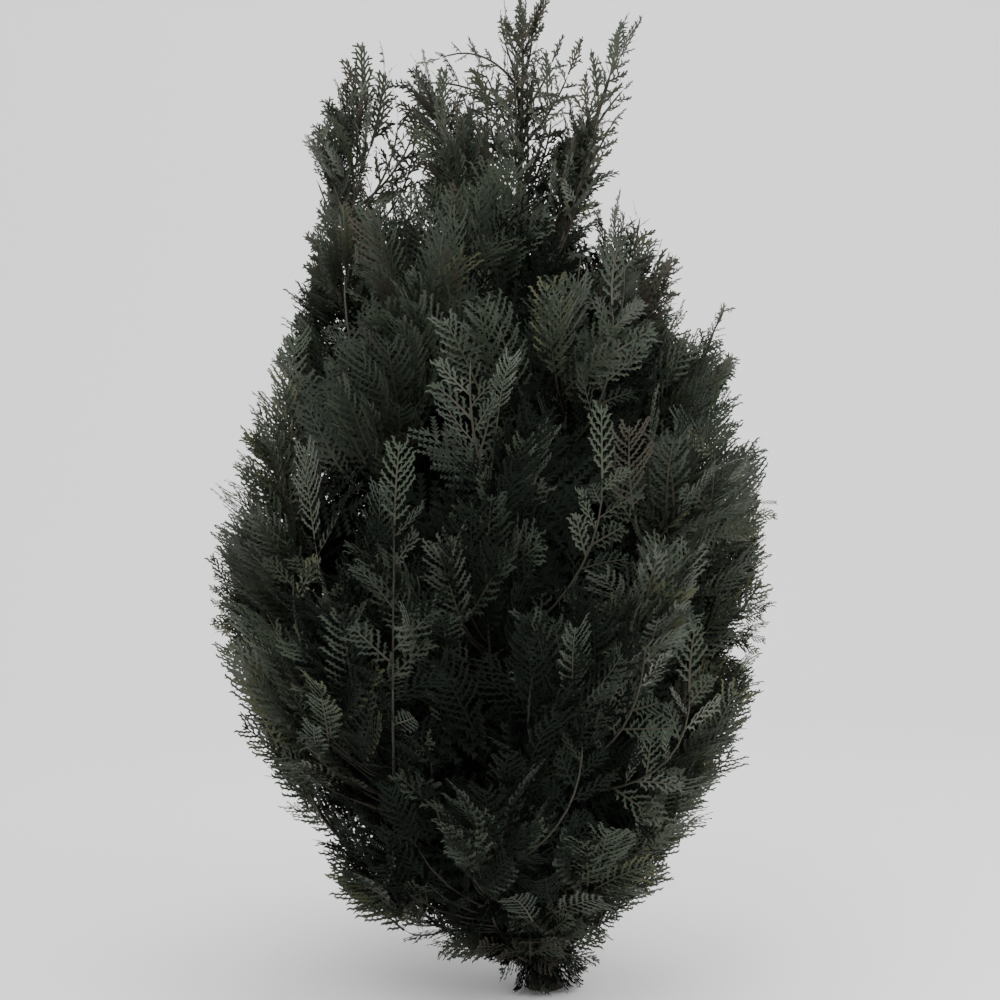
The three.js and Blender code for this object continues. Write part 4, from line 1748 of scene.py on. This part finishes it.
@dataclass
class Mass:
    """A mass of foliage on one stem: the stem, its twigs, and the fronds on them.

    Attributes:
        node: the node of the frame that it stands for.
        number: its number, which its chances are drawn with.
        stem: the curve of its stem.
        outward: angle in radians that it grows out at.
        foliage: its kind of foliage.
        trunk: the curve of the trunk.
        bough: the curve of the bough that carries it, if one does.
        fronds: its fronds.
        twigs: its stem and twigs.
    """

    node: str
    number: int
    stem: Line
    outward: float
    foliage: Foliage
    trunk: Line
    bough: Line | None = None
    fronds: Heap = field(default_factory=Heap)
    twigs: Heap = field(default_factory=Heap)

    SIZES: ClassVar[tuple[float, ...]] = (1.0, 0.84, 0.70, 0.58, 0.45)

    def keeps(self, point: np.ndarray, share: float = 1.0) -> bool:
        """Tells whether a point may carry foliage.

        Args:
            point: the point.
            share: how far out in the crown it may lie.

        Returns:
            True where it is above the ground and inside the outline of its kind of foliage.
        """
        if point[2] < GROUND_CLEARANCE:
            return False
        if self.foliage.free:
            return CROWN.holds_loosely(point)
        return CROWN.share(point) < share

    def twig_rule(self, index: int) -> tuple[float, np.ndarray, float, float]:
        """Where a twig leaves the stem and how it goes, by the rule of the part's source.

        Args:
            index: the twig's number.

        Returns:
            Its share of the stem, its heading, its length and how its fronds are rolled.
        """
        kind, n = self.foliage, self.number
        place = (index * kind.stride + chance(n, 0, Use.PLACE)) % 1
        share = lerp(*kind.stretch, place)
        around = GOLDEN_ANGLE * index / (2 * math.pi) + chance(n, 0, Use.RING)
        turn = self.outward + kind.fan * (2 * (around % 1) - 1)
        rise = lerp(kind.lift, kind.top_lift, share) + kind.lift_variety / 2 * either(n, index, Use.LIFT)
        flat = math.cos(rise)
        heading = np.array((flat * math.cos(turn), flat * math.sin(turn), math.sin(rise)))
        length = kind.twig * lerp(*kind.shortening, share)
        length *= 1 + kind.length_variety / 2 * either(n, index, Use.LENGTH)
        return share, heading, length, kind.roll * either(n, index, Use.ROLL)

    def fitted(
        self, root: np.ndarray, heading: np.ndarray, usual: float, size: float, limit: float
    ) -> Line | None:
        """A twig whose end frond comes up to the crown's outline.

        Args:
            root: where the twig leaves the stem.
            heading: where it starts out for.
            usual: its length by the rule.
            size: length of its end frond.
            limit: how far out in the crown the frond may come.

        Returns:
            The twig's curve, or None where even a short one would leave the crown.
        """
        longest = 1.15 * usual if self.foliage.free else self.foliage.reach - 0.8 * size
        for length in np.linspace(longest, 0.3 * usual, 9):
            end = root + heading * 0.88 * length + UP * 0.30 * length
            if self.keeps(end + self.frond_heading(heading) * 0.8 * size, limit):
                return Line.bent(root, root + heading * 0.6 * length, end)
        return None

    def frond_heading(self, heading: np.ndarray) -> np.ndarray:
        """Where the frond points at the end of a twig that starts out for a heading."""
        return unit(heading * np.array((0.5, 0.5, 0.2)) + UP * self.foliage.upturn)

    def shades_at(self, point: np.ndarray) -> dict[Shade, float]:
        """Looks up the shades for a place in the crown: lighter at its sides, a painted light, and darker in
        the darkened oval and the upper middle, a painted shade.

        Args:
            point: the place.

        Returns:
            The shades, with their weights.
        """
        if self.foliage.shades is not GREENS:
            return self.foliage.shades
        if abs(CROWN.side_share(point)) > LIGHT_PAINTED_SIDE_SHARE:
            return LIGHT_PAINTED_SIDE_GREENS
        if SHADE_PAINTED_OVAL.holds(point):
            return SHADE_PAINTED_GREENS
        middle = abs(CROWN.side_share(point)) < MIDDLE_SIDE and point[2] > MIDDLE_HEIGHT
        return SHADE_PAINTED_UPPER_GREENS if middle else GREENS

    def shade_at(self, index: int, point: np.ndarray) -> Shade:
        """Deals a shade to a frond.

        Args:
            index: its number in the mass.
            point: where it grows.

        Returns:
            The shade.
        """
        shades = self.shades_at(point)
        left = chance(self.number, index, Use.SHADE) * sum(shades.values())
        for shade, weight in shades.items():
            left -= weight
            if left <= 0:
                return shade
        return Shade.GREEN

    def add_frond(
        self,
        index: int,
        frond: Frond,
        length: float,
        bed: tuple[np.ndarray, np.ndarray, float],
        shade: Shade,
        share: float = 1.0,
    ) -> bool:
        """Adds a frond, smaller where the full one would leave the crown.

        Args:
            index: its number in the mass.
            frond: its pattern.
            length: its length.
            bed: where it grows, where its tip points and how far it is rolled.
            shade: its colour.
            share: how far out in the crown its tip may come.

        Returns:
            True if it was added.
        """
        n = self.number
        root, heading, roll = bed
        lining = index >= LINING_NUMBER
        middle = root + heading * length / 2
        if not self.foliage.free and any(hollow.holds(middle) for hollow in HOLLOWS):
            return False
        outward = unit(np.array((root[0] - CROWN.middle(float(root[2])), root[1], 0.0)) + 1e-4)
        for size in self.SIZES if lining else self.SIZES[:-1]:
            place = Place.facing(
                root,
                heading,
                outward,
                roll,
                size * length / frond.length,
                curl=0.12 + 0.15 * either(n, index, Use.CURL),
                cup=0.30 + 0.4 * either(n, index, Use.SIDE),
                sweep=0.13 * either(n, index, Use.SIZE),
            )
            if not self.keeps(root + heading * size * length * 0.95, share):
                continue
            corners = frond.laid(place)
            if lining and np.any(CROWN.share(corners) > share):
                continue
            if np.all(corners > VISUAL_LOW) and np.all(corners < VISUAL_HIGH):
                corners[:, 2] = np.maximum(corners[:, 2], LEAST_HEIGHT)
                # Fronds deep inside the crown take a darker shade: painted shade.
                if not self.foliage.free and CROWN.share(middle) < SHADED_SHARE:
                    shade = shade.shaded
                # Some fronds get lighter outer ends: a painted highlight.
                light_painted_edge = not lining and chance(n, index, Use.FROND) < LIGHT_PAINTED_EDGE_SHARE
                tip = shade.edge if light_painted_edge else shade
                if shade is Shade.YELLOW:
                    shade = Shade.GREEN
                self.fronds.add(corners, frond.triangles, frond.slots(shade, tip))
                return True
        return False

    def add_twig(self, line: Line, skin: int) -> None:
        """Adds a bare twig.

        Args:
            line: what it follows.
            skin: the number of its skin; in the darkened oval the dull skin, painted shade, is used instead.
        """
        foot, tip = BOUGHS.twig_foot_radius(line.length), BOUGHS.twig_tip_radius
        corners, faces = tube(line, lambda share: lerp(foot, tip, share), 4, 4)
        worn = SHADE_PAINTED_SKIN if SHADE_PAINTED_OVAL.holds(line.at(0.5)) else skin
        self.twigs.add(corners, faces, np.full(len(faces), worn))

    def grow_stem(self) -> None:
        """Adds the stem."""
        corners, faces = tube(self.stem, BOUGHS.stem_radius, 7, 24)
        self.twigs.add(corners, faces, np.zeros(len(faces), dtype=int))

    def grow_twig(self, index: int, book: FrondBook) -> None:
        """Adds one twig with the frond at its end and those along it.

        Args:
            index: the twig's number.
            book: the patterns of its fronds.
        """
        kind, n = self.foliage, self.number
        share, heading, usual, _ = self.twig_rule(index)
        root = self.stem.at(share)
        size = kind.frond * (1 + 0.18 * either(n, index, Use.SIZE))
        limit = lerp(TWIG_SHARE, 1.0, chance(n, index, Use.SHADE))
        line = self.fitted(root, heading, usual, size, limit)
        if line is None:
            return
        first = index * 10
        pattern = book.pick(kind.shelf, size, chance(n, first, Use.PATTERN))
        roll = kind.spread * either(n, index, Use.ROLL)
        shade = self.shade_at(first, line.at(1.0))
        end_heading = self.frond_heading(heading)
        if not self.add_frond(first, pattern, size, (line.at(0.97), end_heading, roll), shade):
            return
        self.add_twig(line, index % 2)
        for number in range(kind.side_fronds):
            one = first + number + 1
            place = lerp(0.22, 0.95, (number + 0.5) / kind.side_fronds)
            lean = (0.9 if (number + index) % 2 else -0.9) * (1 + 0.25 * either(n, one, Use.SIDE))
            side = unit(np.cross(end_heading, heading) + 1e-6)
            way = line.heading(place) * math.cos(lean) + side * math.sin(lean) + UP * 0.55 * kind.upturn
            way = unit(way)
            length = size * lerp(0.66, 0.92, place) * (1 + 0.15 * either(n, one, Use.LENGTH))
            own = kind.spread * either(n, one, Use.ROLL)
            pattern = book.pick(kind.shelf, length, chance(n, one, Use.PATTERN))
            dealt = shade if chance(n, one, Use.TIP) < 0.5 else self.shade_at(one, line.at(place))
            self.add_frond(one, pattern, length, (line.at(place), way, own), dealt)

    def grow_inside(self, index: int, book: FrondBook) -> None:
        """Adds one coarser frond of the lining, straight on the wood and spread across the light.

        Args:
            index: its number, counted on from the twigs.
            book: the patterns of the fronds.
        """
        n = self.number
        share, _, _, roll = self.twig_rule(index)
        wood = self.stem if self.bough is None or index % 3 else self.bough
        root = wood.at(lerp(*LINED_STRETCH, share) if wood is self.bough else share)
        turn = self.outward + (1.5 if index % 2 else -1.5) + 0.7 * either(n, index, Use.TIP)
        rise = lerp(-0.3, 1.3, chance(n, index, Use.SIDE))
        flat = math.cos(rise)
        way = np.array((flat * math.cos(turn), flat * math.sin(turn), math.sin(rise)))
        pattern = book.pick(Shelf.SHADED, INSIDE_FROND, chance(n, index, Use.PATTERN))
        # Lining fronds are near black by turns and in the darkened oval, deep green otherwise: painted shade.
        shade = Shade.DARK if index % 2 or SHADE_PAINTED_OVAL.holds(root) else Shade.DEEP
        bed = (root, way, roll)
        self.add_frond(LINING_NUMBER + index, pattern, INSIDE_FROND, bed, shade, LINING_SHARE)

    def grow_collar(self, collar: Collar, book: FrondBook) -> None:
        """Adds the fronds of a collar, three hanging ones to two that stand.

        Args:
            collar: the collar.
            book: the patterns of its fronds.
        """
        n = self.number
        for index in range(collar.count):
            one = COLLAR_NUMBER + index
            hangs = index % 5 < 3
            height = lerp(*collar.heights, chance(n, one, Use.PLACE)) - (0.0 if hangs else collar.drop)
            turn = self.outward + collar.fan * (2 * ((GOLDEN_ANGLE * index / (2 * math.pi)) % 1) - 1)
            out = np.array((math.cos(turn), math.sin(turn), 0.0))
            lift = -height / collar.fall if hangs else 1.0
            heading = unit(out * lerp(*collar.spread, chance(n, one, Use.LIFT)) + UP * lift)
            length = lerp(*collar.lengths, chance(n, one, Use.LENGTH))
            pattern = book.pick(Shelf.DENSE, length, chance(n, one, Use.PATTERN))
            shade = collar.shades[int(3.99 * chance(n, one, Use.SHADE))]
            root = TRUNK.point(height) + out * TRUNK.radius(height)
            roll = self.foliage.roll * either(n, one, Use.ROLL)
            self.add_frond(one, pattern, length, (root, heading, roll), shade)

    def nearest_wood(self, point: np.ndarray) -> np.ndarray:
        """Finds the wood that a shoot can grow from.

        Args:
            point: where the shoot should start.

        Returns:
            The nearest point of the stem, its bough or the trunk.
        """
        woods = [line for line in (self.stem, self.bough, self.trunk) if line is not None]
        points = np.concatenate([line.points for line in woods])
        return points[np.argmin(np.linalg.norm(points - point, axis=1))]

    def grow_shoot(self, number: int, shoot: Shoot, book: FrondBook) -> None:
        """Adds one long shoot with fronds to both sides.

        Args:
            number: the shoot's number in the tree.
            shoot: the shoot.
            book: the patterns of its fronds.
        """
        line = Line.bent(self.nearest_wood(np.array(shoot.start)), np.array(shoot.belly), np.array(shoot.tip))
        corners, faces = tube(line, BOUGHS.shoot_radius, 5, 10)
        self.twigs.add(corners, faces, np.ones(len(faces), dtype=int))
        count = max(4, round(line.length / shoot.pitch))
        for step in range(count + 1):
            one = SHOOT_NUMBER + 100 * number + step
            place = min(lerp(0.12, 1.0, step / count), 0.99)
            way = line.heading(place)
            roll = 0.9 * either(self.number, one, Use.ROLL)
            lean = 0.0
            length = max(shoot.frond * 1.15, 0.036)
            if step < count:
                lean = (0.74 if step % 2 else -0.74) * (1 + 0.2 * either(self.number, one, Use.SIDE))
                length = shoot.frond * lerp(1.1, 0.62, place)
                length *= 1 + 0.2 * either(self.number, one, Use.LENGTH)
            front = turned(np.array((0.0, -1.0, 0.0)), UP, 0.8 * either(self.number, one, Use.TIP))
            heading = unit(turned(way, unit(np.cross(np.cross(way, front), way)), lean))
            pattern = book.pick(self.foliage.shelf, length, chance(self.number, one, Use.PATTERN))
            shade = shoot.shade or self.shade_at(one, line.at(place))
            self.add_frond(one, pattern, length, (line.at(place), heading, roll), shade, SHOOT_SHARE)

    def grow_tip(self, book: FrondBook) -> None:
        """Adds the frond that ends the stem.

        Args:
            book: the patterns of the fronds.
        """
        heading = unit(self.stem.heading(1.0) + UP * self.foliage.tip_upturn)
        roll = math.pi * either(self.number, 0, Use.TIP)
        pattern = book.pick(self.foliage.shelf, self.foliage.frond, 0.5)
        bed = (self.stem.at(0.99), heading, roll)
        self.add_frond(TIP_NUMBER, pattern, self.foliage.frond, bed, Shade.GREEN)

    def build(self, book: FrondBook, wardrobe: Wardrobe) -> int:
        """Grows the mass and hangs its pieces on the frame.

        Args:
            book: the patterns of its fronds.
            wardrobe: the finishes.

        Returns:
            How many triangles its foliage has.
        """
        self.grow_stem()
        self.grow_tip(book)
        for index in range(self.foliage.twigs):
            self.grow_twig(index, book)
        for index in range(self.foliage.inner):
            self.grow_inside(index + self.foliage.twigs, book)
        if self.foliage is FOOT:
            self.grow_collar(Collar(), book)
        for number, shoot in enumerate(SHOOTS):
            if shoot.node == self.node:
                self.grow_shoot(number, shoot, book)
        dress(self.twigs.build(f"{self.node}_twigs", wardrobe.twigs), "bark", self.node)
        dress(self.fronds.build(f"{self.node}_fronds", wardrobe.leaves), "foliage", self.node)
        return self.fronds.triangles


@dataclass
class Tree:
    """The whole cypress, worked out from the tiers.

    Attributes:
        trunk: the curve of the trunk.
        limbs: the trunk and the boughs.
        masses: the masses of foliage.
    """

    trunk: Line
    limbs: list[Limb] = field(default_factory=list)
    masses: list[Mass] = field(default_factory=list)

    @classmethod
    def planted(cls) -> "Tree":
        """A tree with its trunk."""
        heights = np.linspace(0, TRUNK.height, Line.STEPS + 1)
        return cls(Line(np.array([TRUNK.point(float(height)) for height in heights])))

    def lay_out(self) -> None:
        """Works out every limb and mass in the order of the part's source."""
        self.limbs.append(
            Limb(
                node="trunk",
                line=self.trunk,
                radius=lambda share: TRUNK.radius(share * TRUNK.height),
                sides=28,
                ring_pitch=0.005,
                relief=0.07,
                seed=1.0,
            )
        )
        for tier in TIERS:
            for index in range(tier.count):
                self.lay_bough(tier, index)
        for row in TRUNK_MASSES:
            self.lay_trunk_mass(row)
        start = TRUNK.point(TRUNK.height)
        tip = np.array((start[0], start[1], LEADER_TIP_HEIGHT))
        stem = Line.bent(start, (start + tip) / 2, tip)
        self.masses.append(Mass("leader_tip_foliage", len(self.masses), stem, 0.0, THIN, self.trunk))

    def lay_bough(self, tier: Tier, index: int) -> None:
        """Adds one bough and its mass.

        Args:
            tier: the tier that it stands in.
            index: its number in the tier, from 0.
        """
        angle = tier.angle + 360 / tier.count * index
        suffix = f"_{index + 1}" if tier.count > 1 else ""
        start, end = TRUNK.point(tier.leaves), CROWN.point(tier.end, angle)
        belly = BOUGHS.belly_point(start, end)
        line = Line.bent(start, belly, end)
        foot = BOUGHS.foot_radius(line.length)
        self.limbs.append(
            Limb(
                node=f"{tier.name}_bough{suffix}",
                line=line,
                radius=lambda share: lerp(foot, BOUGHS.tip_radius, share),
                sides=14,
                ring_pitch=0.004,
                relief=0.06,
                seed=2.0 + len(self.limbs),
            )
        )
        tip = CROWN.point(tier.tip, angle)
        reach = float(np.linalg.norm(tip - end))
        stem = Line.bent(end, end + unit(end - belly) * reach / 2, tip)
        number = len(self.masses)
        node = f"{tier.name}_foliage{suffix}"
        self.masses.append(Mass(node, number, stem, math.radians(angle), tier.foliage, self.trunk, line))

    def lay_trunk_mass(self, row: TrunkMass) -> None:
        """Adds a mass whose stem comes straight from the trunk.

        Args:
            row: the mass in the terms of the source.
        """
        start, tip = TRUNK.point(row.leaves), CROWN.point(row.tip, row.angle)
        across = unit(np.array((tip[0] - start[0], tip[1] - start[1], 0.0)))
        heading = unit(across + UP)
        reach = float(np.linalg.norm(tip - start))
        stem = Line.bent(start, start + heading * reach / 2, tip)
        number = len(self.masses)
        node = f"{row.name}_foliage"
        self.masses.append(Mass(node, number, stem, math.radians(row.angle), row.foliage, self.trunk))

    def build(self, wardrobe: Wardrobe) -> None:
        """Builds every limb and mass.

        Args:
            wardrobe: the finishes.
        """
        for limb in self.limbs:
            limb.build(wardrobe)
        book = FrondBook()
        total = 0
        for mass in self.masses:
            total += mass.build(book, wardrobe)
        log.info("foliage: %d triangles in all", total)


@dataclass(frozen=True)
class Lamp:
    """A soft square lamp that points at the middle of the tree.

    Attributes:
        name: its name.
        place: where it hangs.
        width: its width.
        power: its power in watts.
    """

    name: str
    place: tuple[float, float, float]
    width: float
    power: float

    AIM: ClassVar[tuple[float, float, float]] = (-0.05, 0.0, 0.75)

    def hang(self) -> None:
        """Adds the lamp to the scene."""
        data = bpy.data.lights.new(self.name, "AREA")
        data.size = self.width
        data.energy = self.power
        lamp = bpy.data.objects.new(self.name, data)
        lamp.location = self.place
        aim = Vector(self.AIM) - Vector(self.place)
        lamp.rotation_euler = aim.to_track_quat("-Z", "Y").to_euler()
        bpy.context.scene.collection.objects.link(lamp)


@dataclass
class Studio:
    """A pale floor that sweeps up behind the tree, soft lamps and the camera.

    Attributes:
        image: width and height of the photograph in pixels.
        pixel: size of a pixel at the trunk.
        foot_pixel: where the trunk's foot lies in the photograph.
        distance: from the camera to the trunk.
        elevation: how far above level the camera stands, in degrees.
        sensor: width of the camera's sensor in millimetres.
        half_floor: half the floor's width and how far it comes to the front.
        wall: how far behind the tree the backdrop stands.
        wall_height: how high it is.
        bend: radius of the bend between floor and backdrop.
        bend_steps: how many flat strips the bend has.
        grey: how bright the floor is.
        room: strength of the even light from all sides.
        lamps: the lamps.
    """

    image: int = 1000
    pixel: float = 0.001523
    foot_pixel: tuple[float, float] = (545.0, 993.0)
    distance: float = 2.9
    elevation: float = 3.0
    sensor: float = 36.0
    half_floor: float = 6.0
    wall: float = 4.0
    wall_height: float = 6.0
    bend: float = 1.6
    bend_steps: int = 12
    grey: float = 0.86
    room: float = 1.15
    lamps: tuple[Lamp, ...] = (
        Lamp("key", (-1.2, -2.4, 4.0), 2.6, 94.0),
        Lamp("fill", (2.8, -1.6, 3.0), 2.4, 92.0),
        Lamp("top", (0.2, 0.4, 4.4), 3.0, 82.0),
    )

    def floor(self) -> None:
        """Adds the floor and backdrop as one sheet."""
        half, start = self.half_floor, self.wall - self.bend
        profile = [(-half, 0.0), (start, 0.0)]
        for step in range(1, self.bend_steps + 1):
            turn = step / self.bend_steps * math.pi / 2
            profile.append((start + self.bend * math.sin(turn), self.bend * (1 - math.cos(turn))))
        profile.append((self.wall, self.wall_height))
        corners = [(side * half, y, z) for y, z in profile for side in (-1, 1)]
        faces = [(2 * i, 2 * i + 1, 2 * i + 3, 2 * i + 2) for i in range(len(profile) - 1)]
        mesh = bpy.data.meshes.new("floor")
        mesh.from_pydata(corners, [], faces)
        for polygon in mesh.polygons:
            polygon.use_smooth = True
        shader = Shader("floor")
        colour = (self.grey, self.grey, self.grey, 1.0)
        mesh.materials.append(shader.surface(Base_Color=colour, Roughness=0.9))
        floor = bpy.data.objects.new("floor", mesh)
        bpy.context.scene.collection.objects.link(floor)

    def world(self) -> None:
        """Gives the room its even light."""
        world = bpy.data.worlds.new("room")
        world.use_nodes = True
        background = world.node_tree.nodes["Background"]
        background.inputs["Color"].default_value = (1.0, 1.0, 1.0, 1.0)
        background.inputs["Strength"].default_value = self.room
        bpy.context.scene.world = world

    def camera(self) -> None:
        """Adds the camera, which sees what the photograph shows."""
        middle_x = (self.image / 2 - self.foot_pixel[0]) * self.pixel
        middle_z = (self.foot_pixel[1] - self.image / 2) * self.pixel
        rise = math.radians(self.elevation)
        data = bpy.data.cameras.new("camera")
        data.sensor_width = self.sensor
        data.lens = self.sensor * self.distance / (self.image * self.pixel)
        camera = bpy.data.objects.new("camera", data)
        target = Vector((middle_x, 0.0, middle_z))
        back = Vector((0.0, -math.cos(rise), math.sin(rise)))
        camera.location = target + back * self.distance
        camera.rotation_euler = (-back).to_track_quat("-Z", "Y").to_euler()
        bpy.context.scene.collection.objects.link(camera)
        bpy.context.scene.camera = camera

    def build(self) -> None:
        """Sets the whole studio up."""
        self.floor()
        self.world()
        for lamp in self.lamps:
            lamp.hang()
        self.camera()


def main() -> None:
    """Builds the studio and the tree."""
    logging.basicConfig(level=logging.INFO, format="%(message)s")
    Studio().build()
    tree = Tree.planted()
    tree.lay_out()
    tree.build(Wardrobe())


if __name__ == "__main__":
    main()
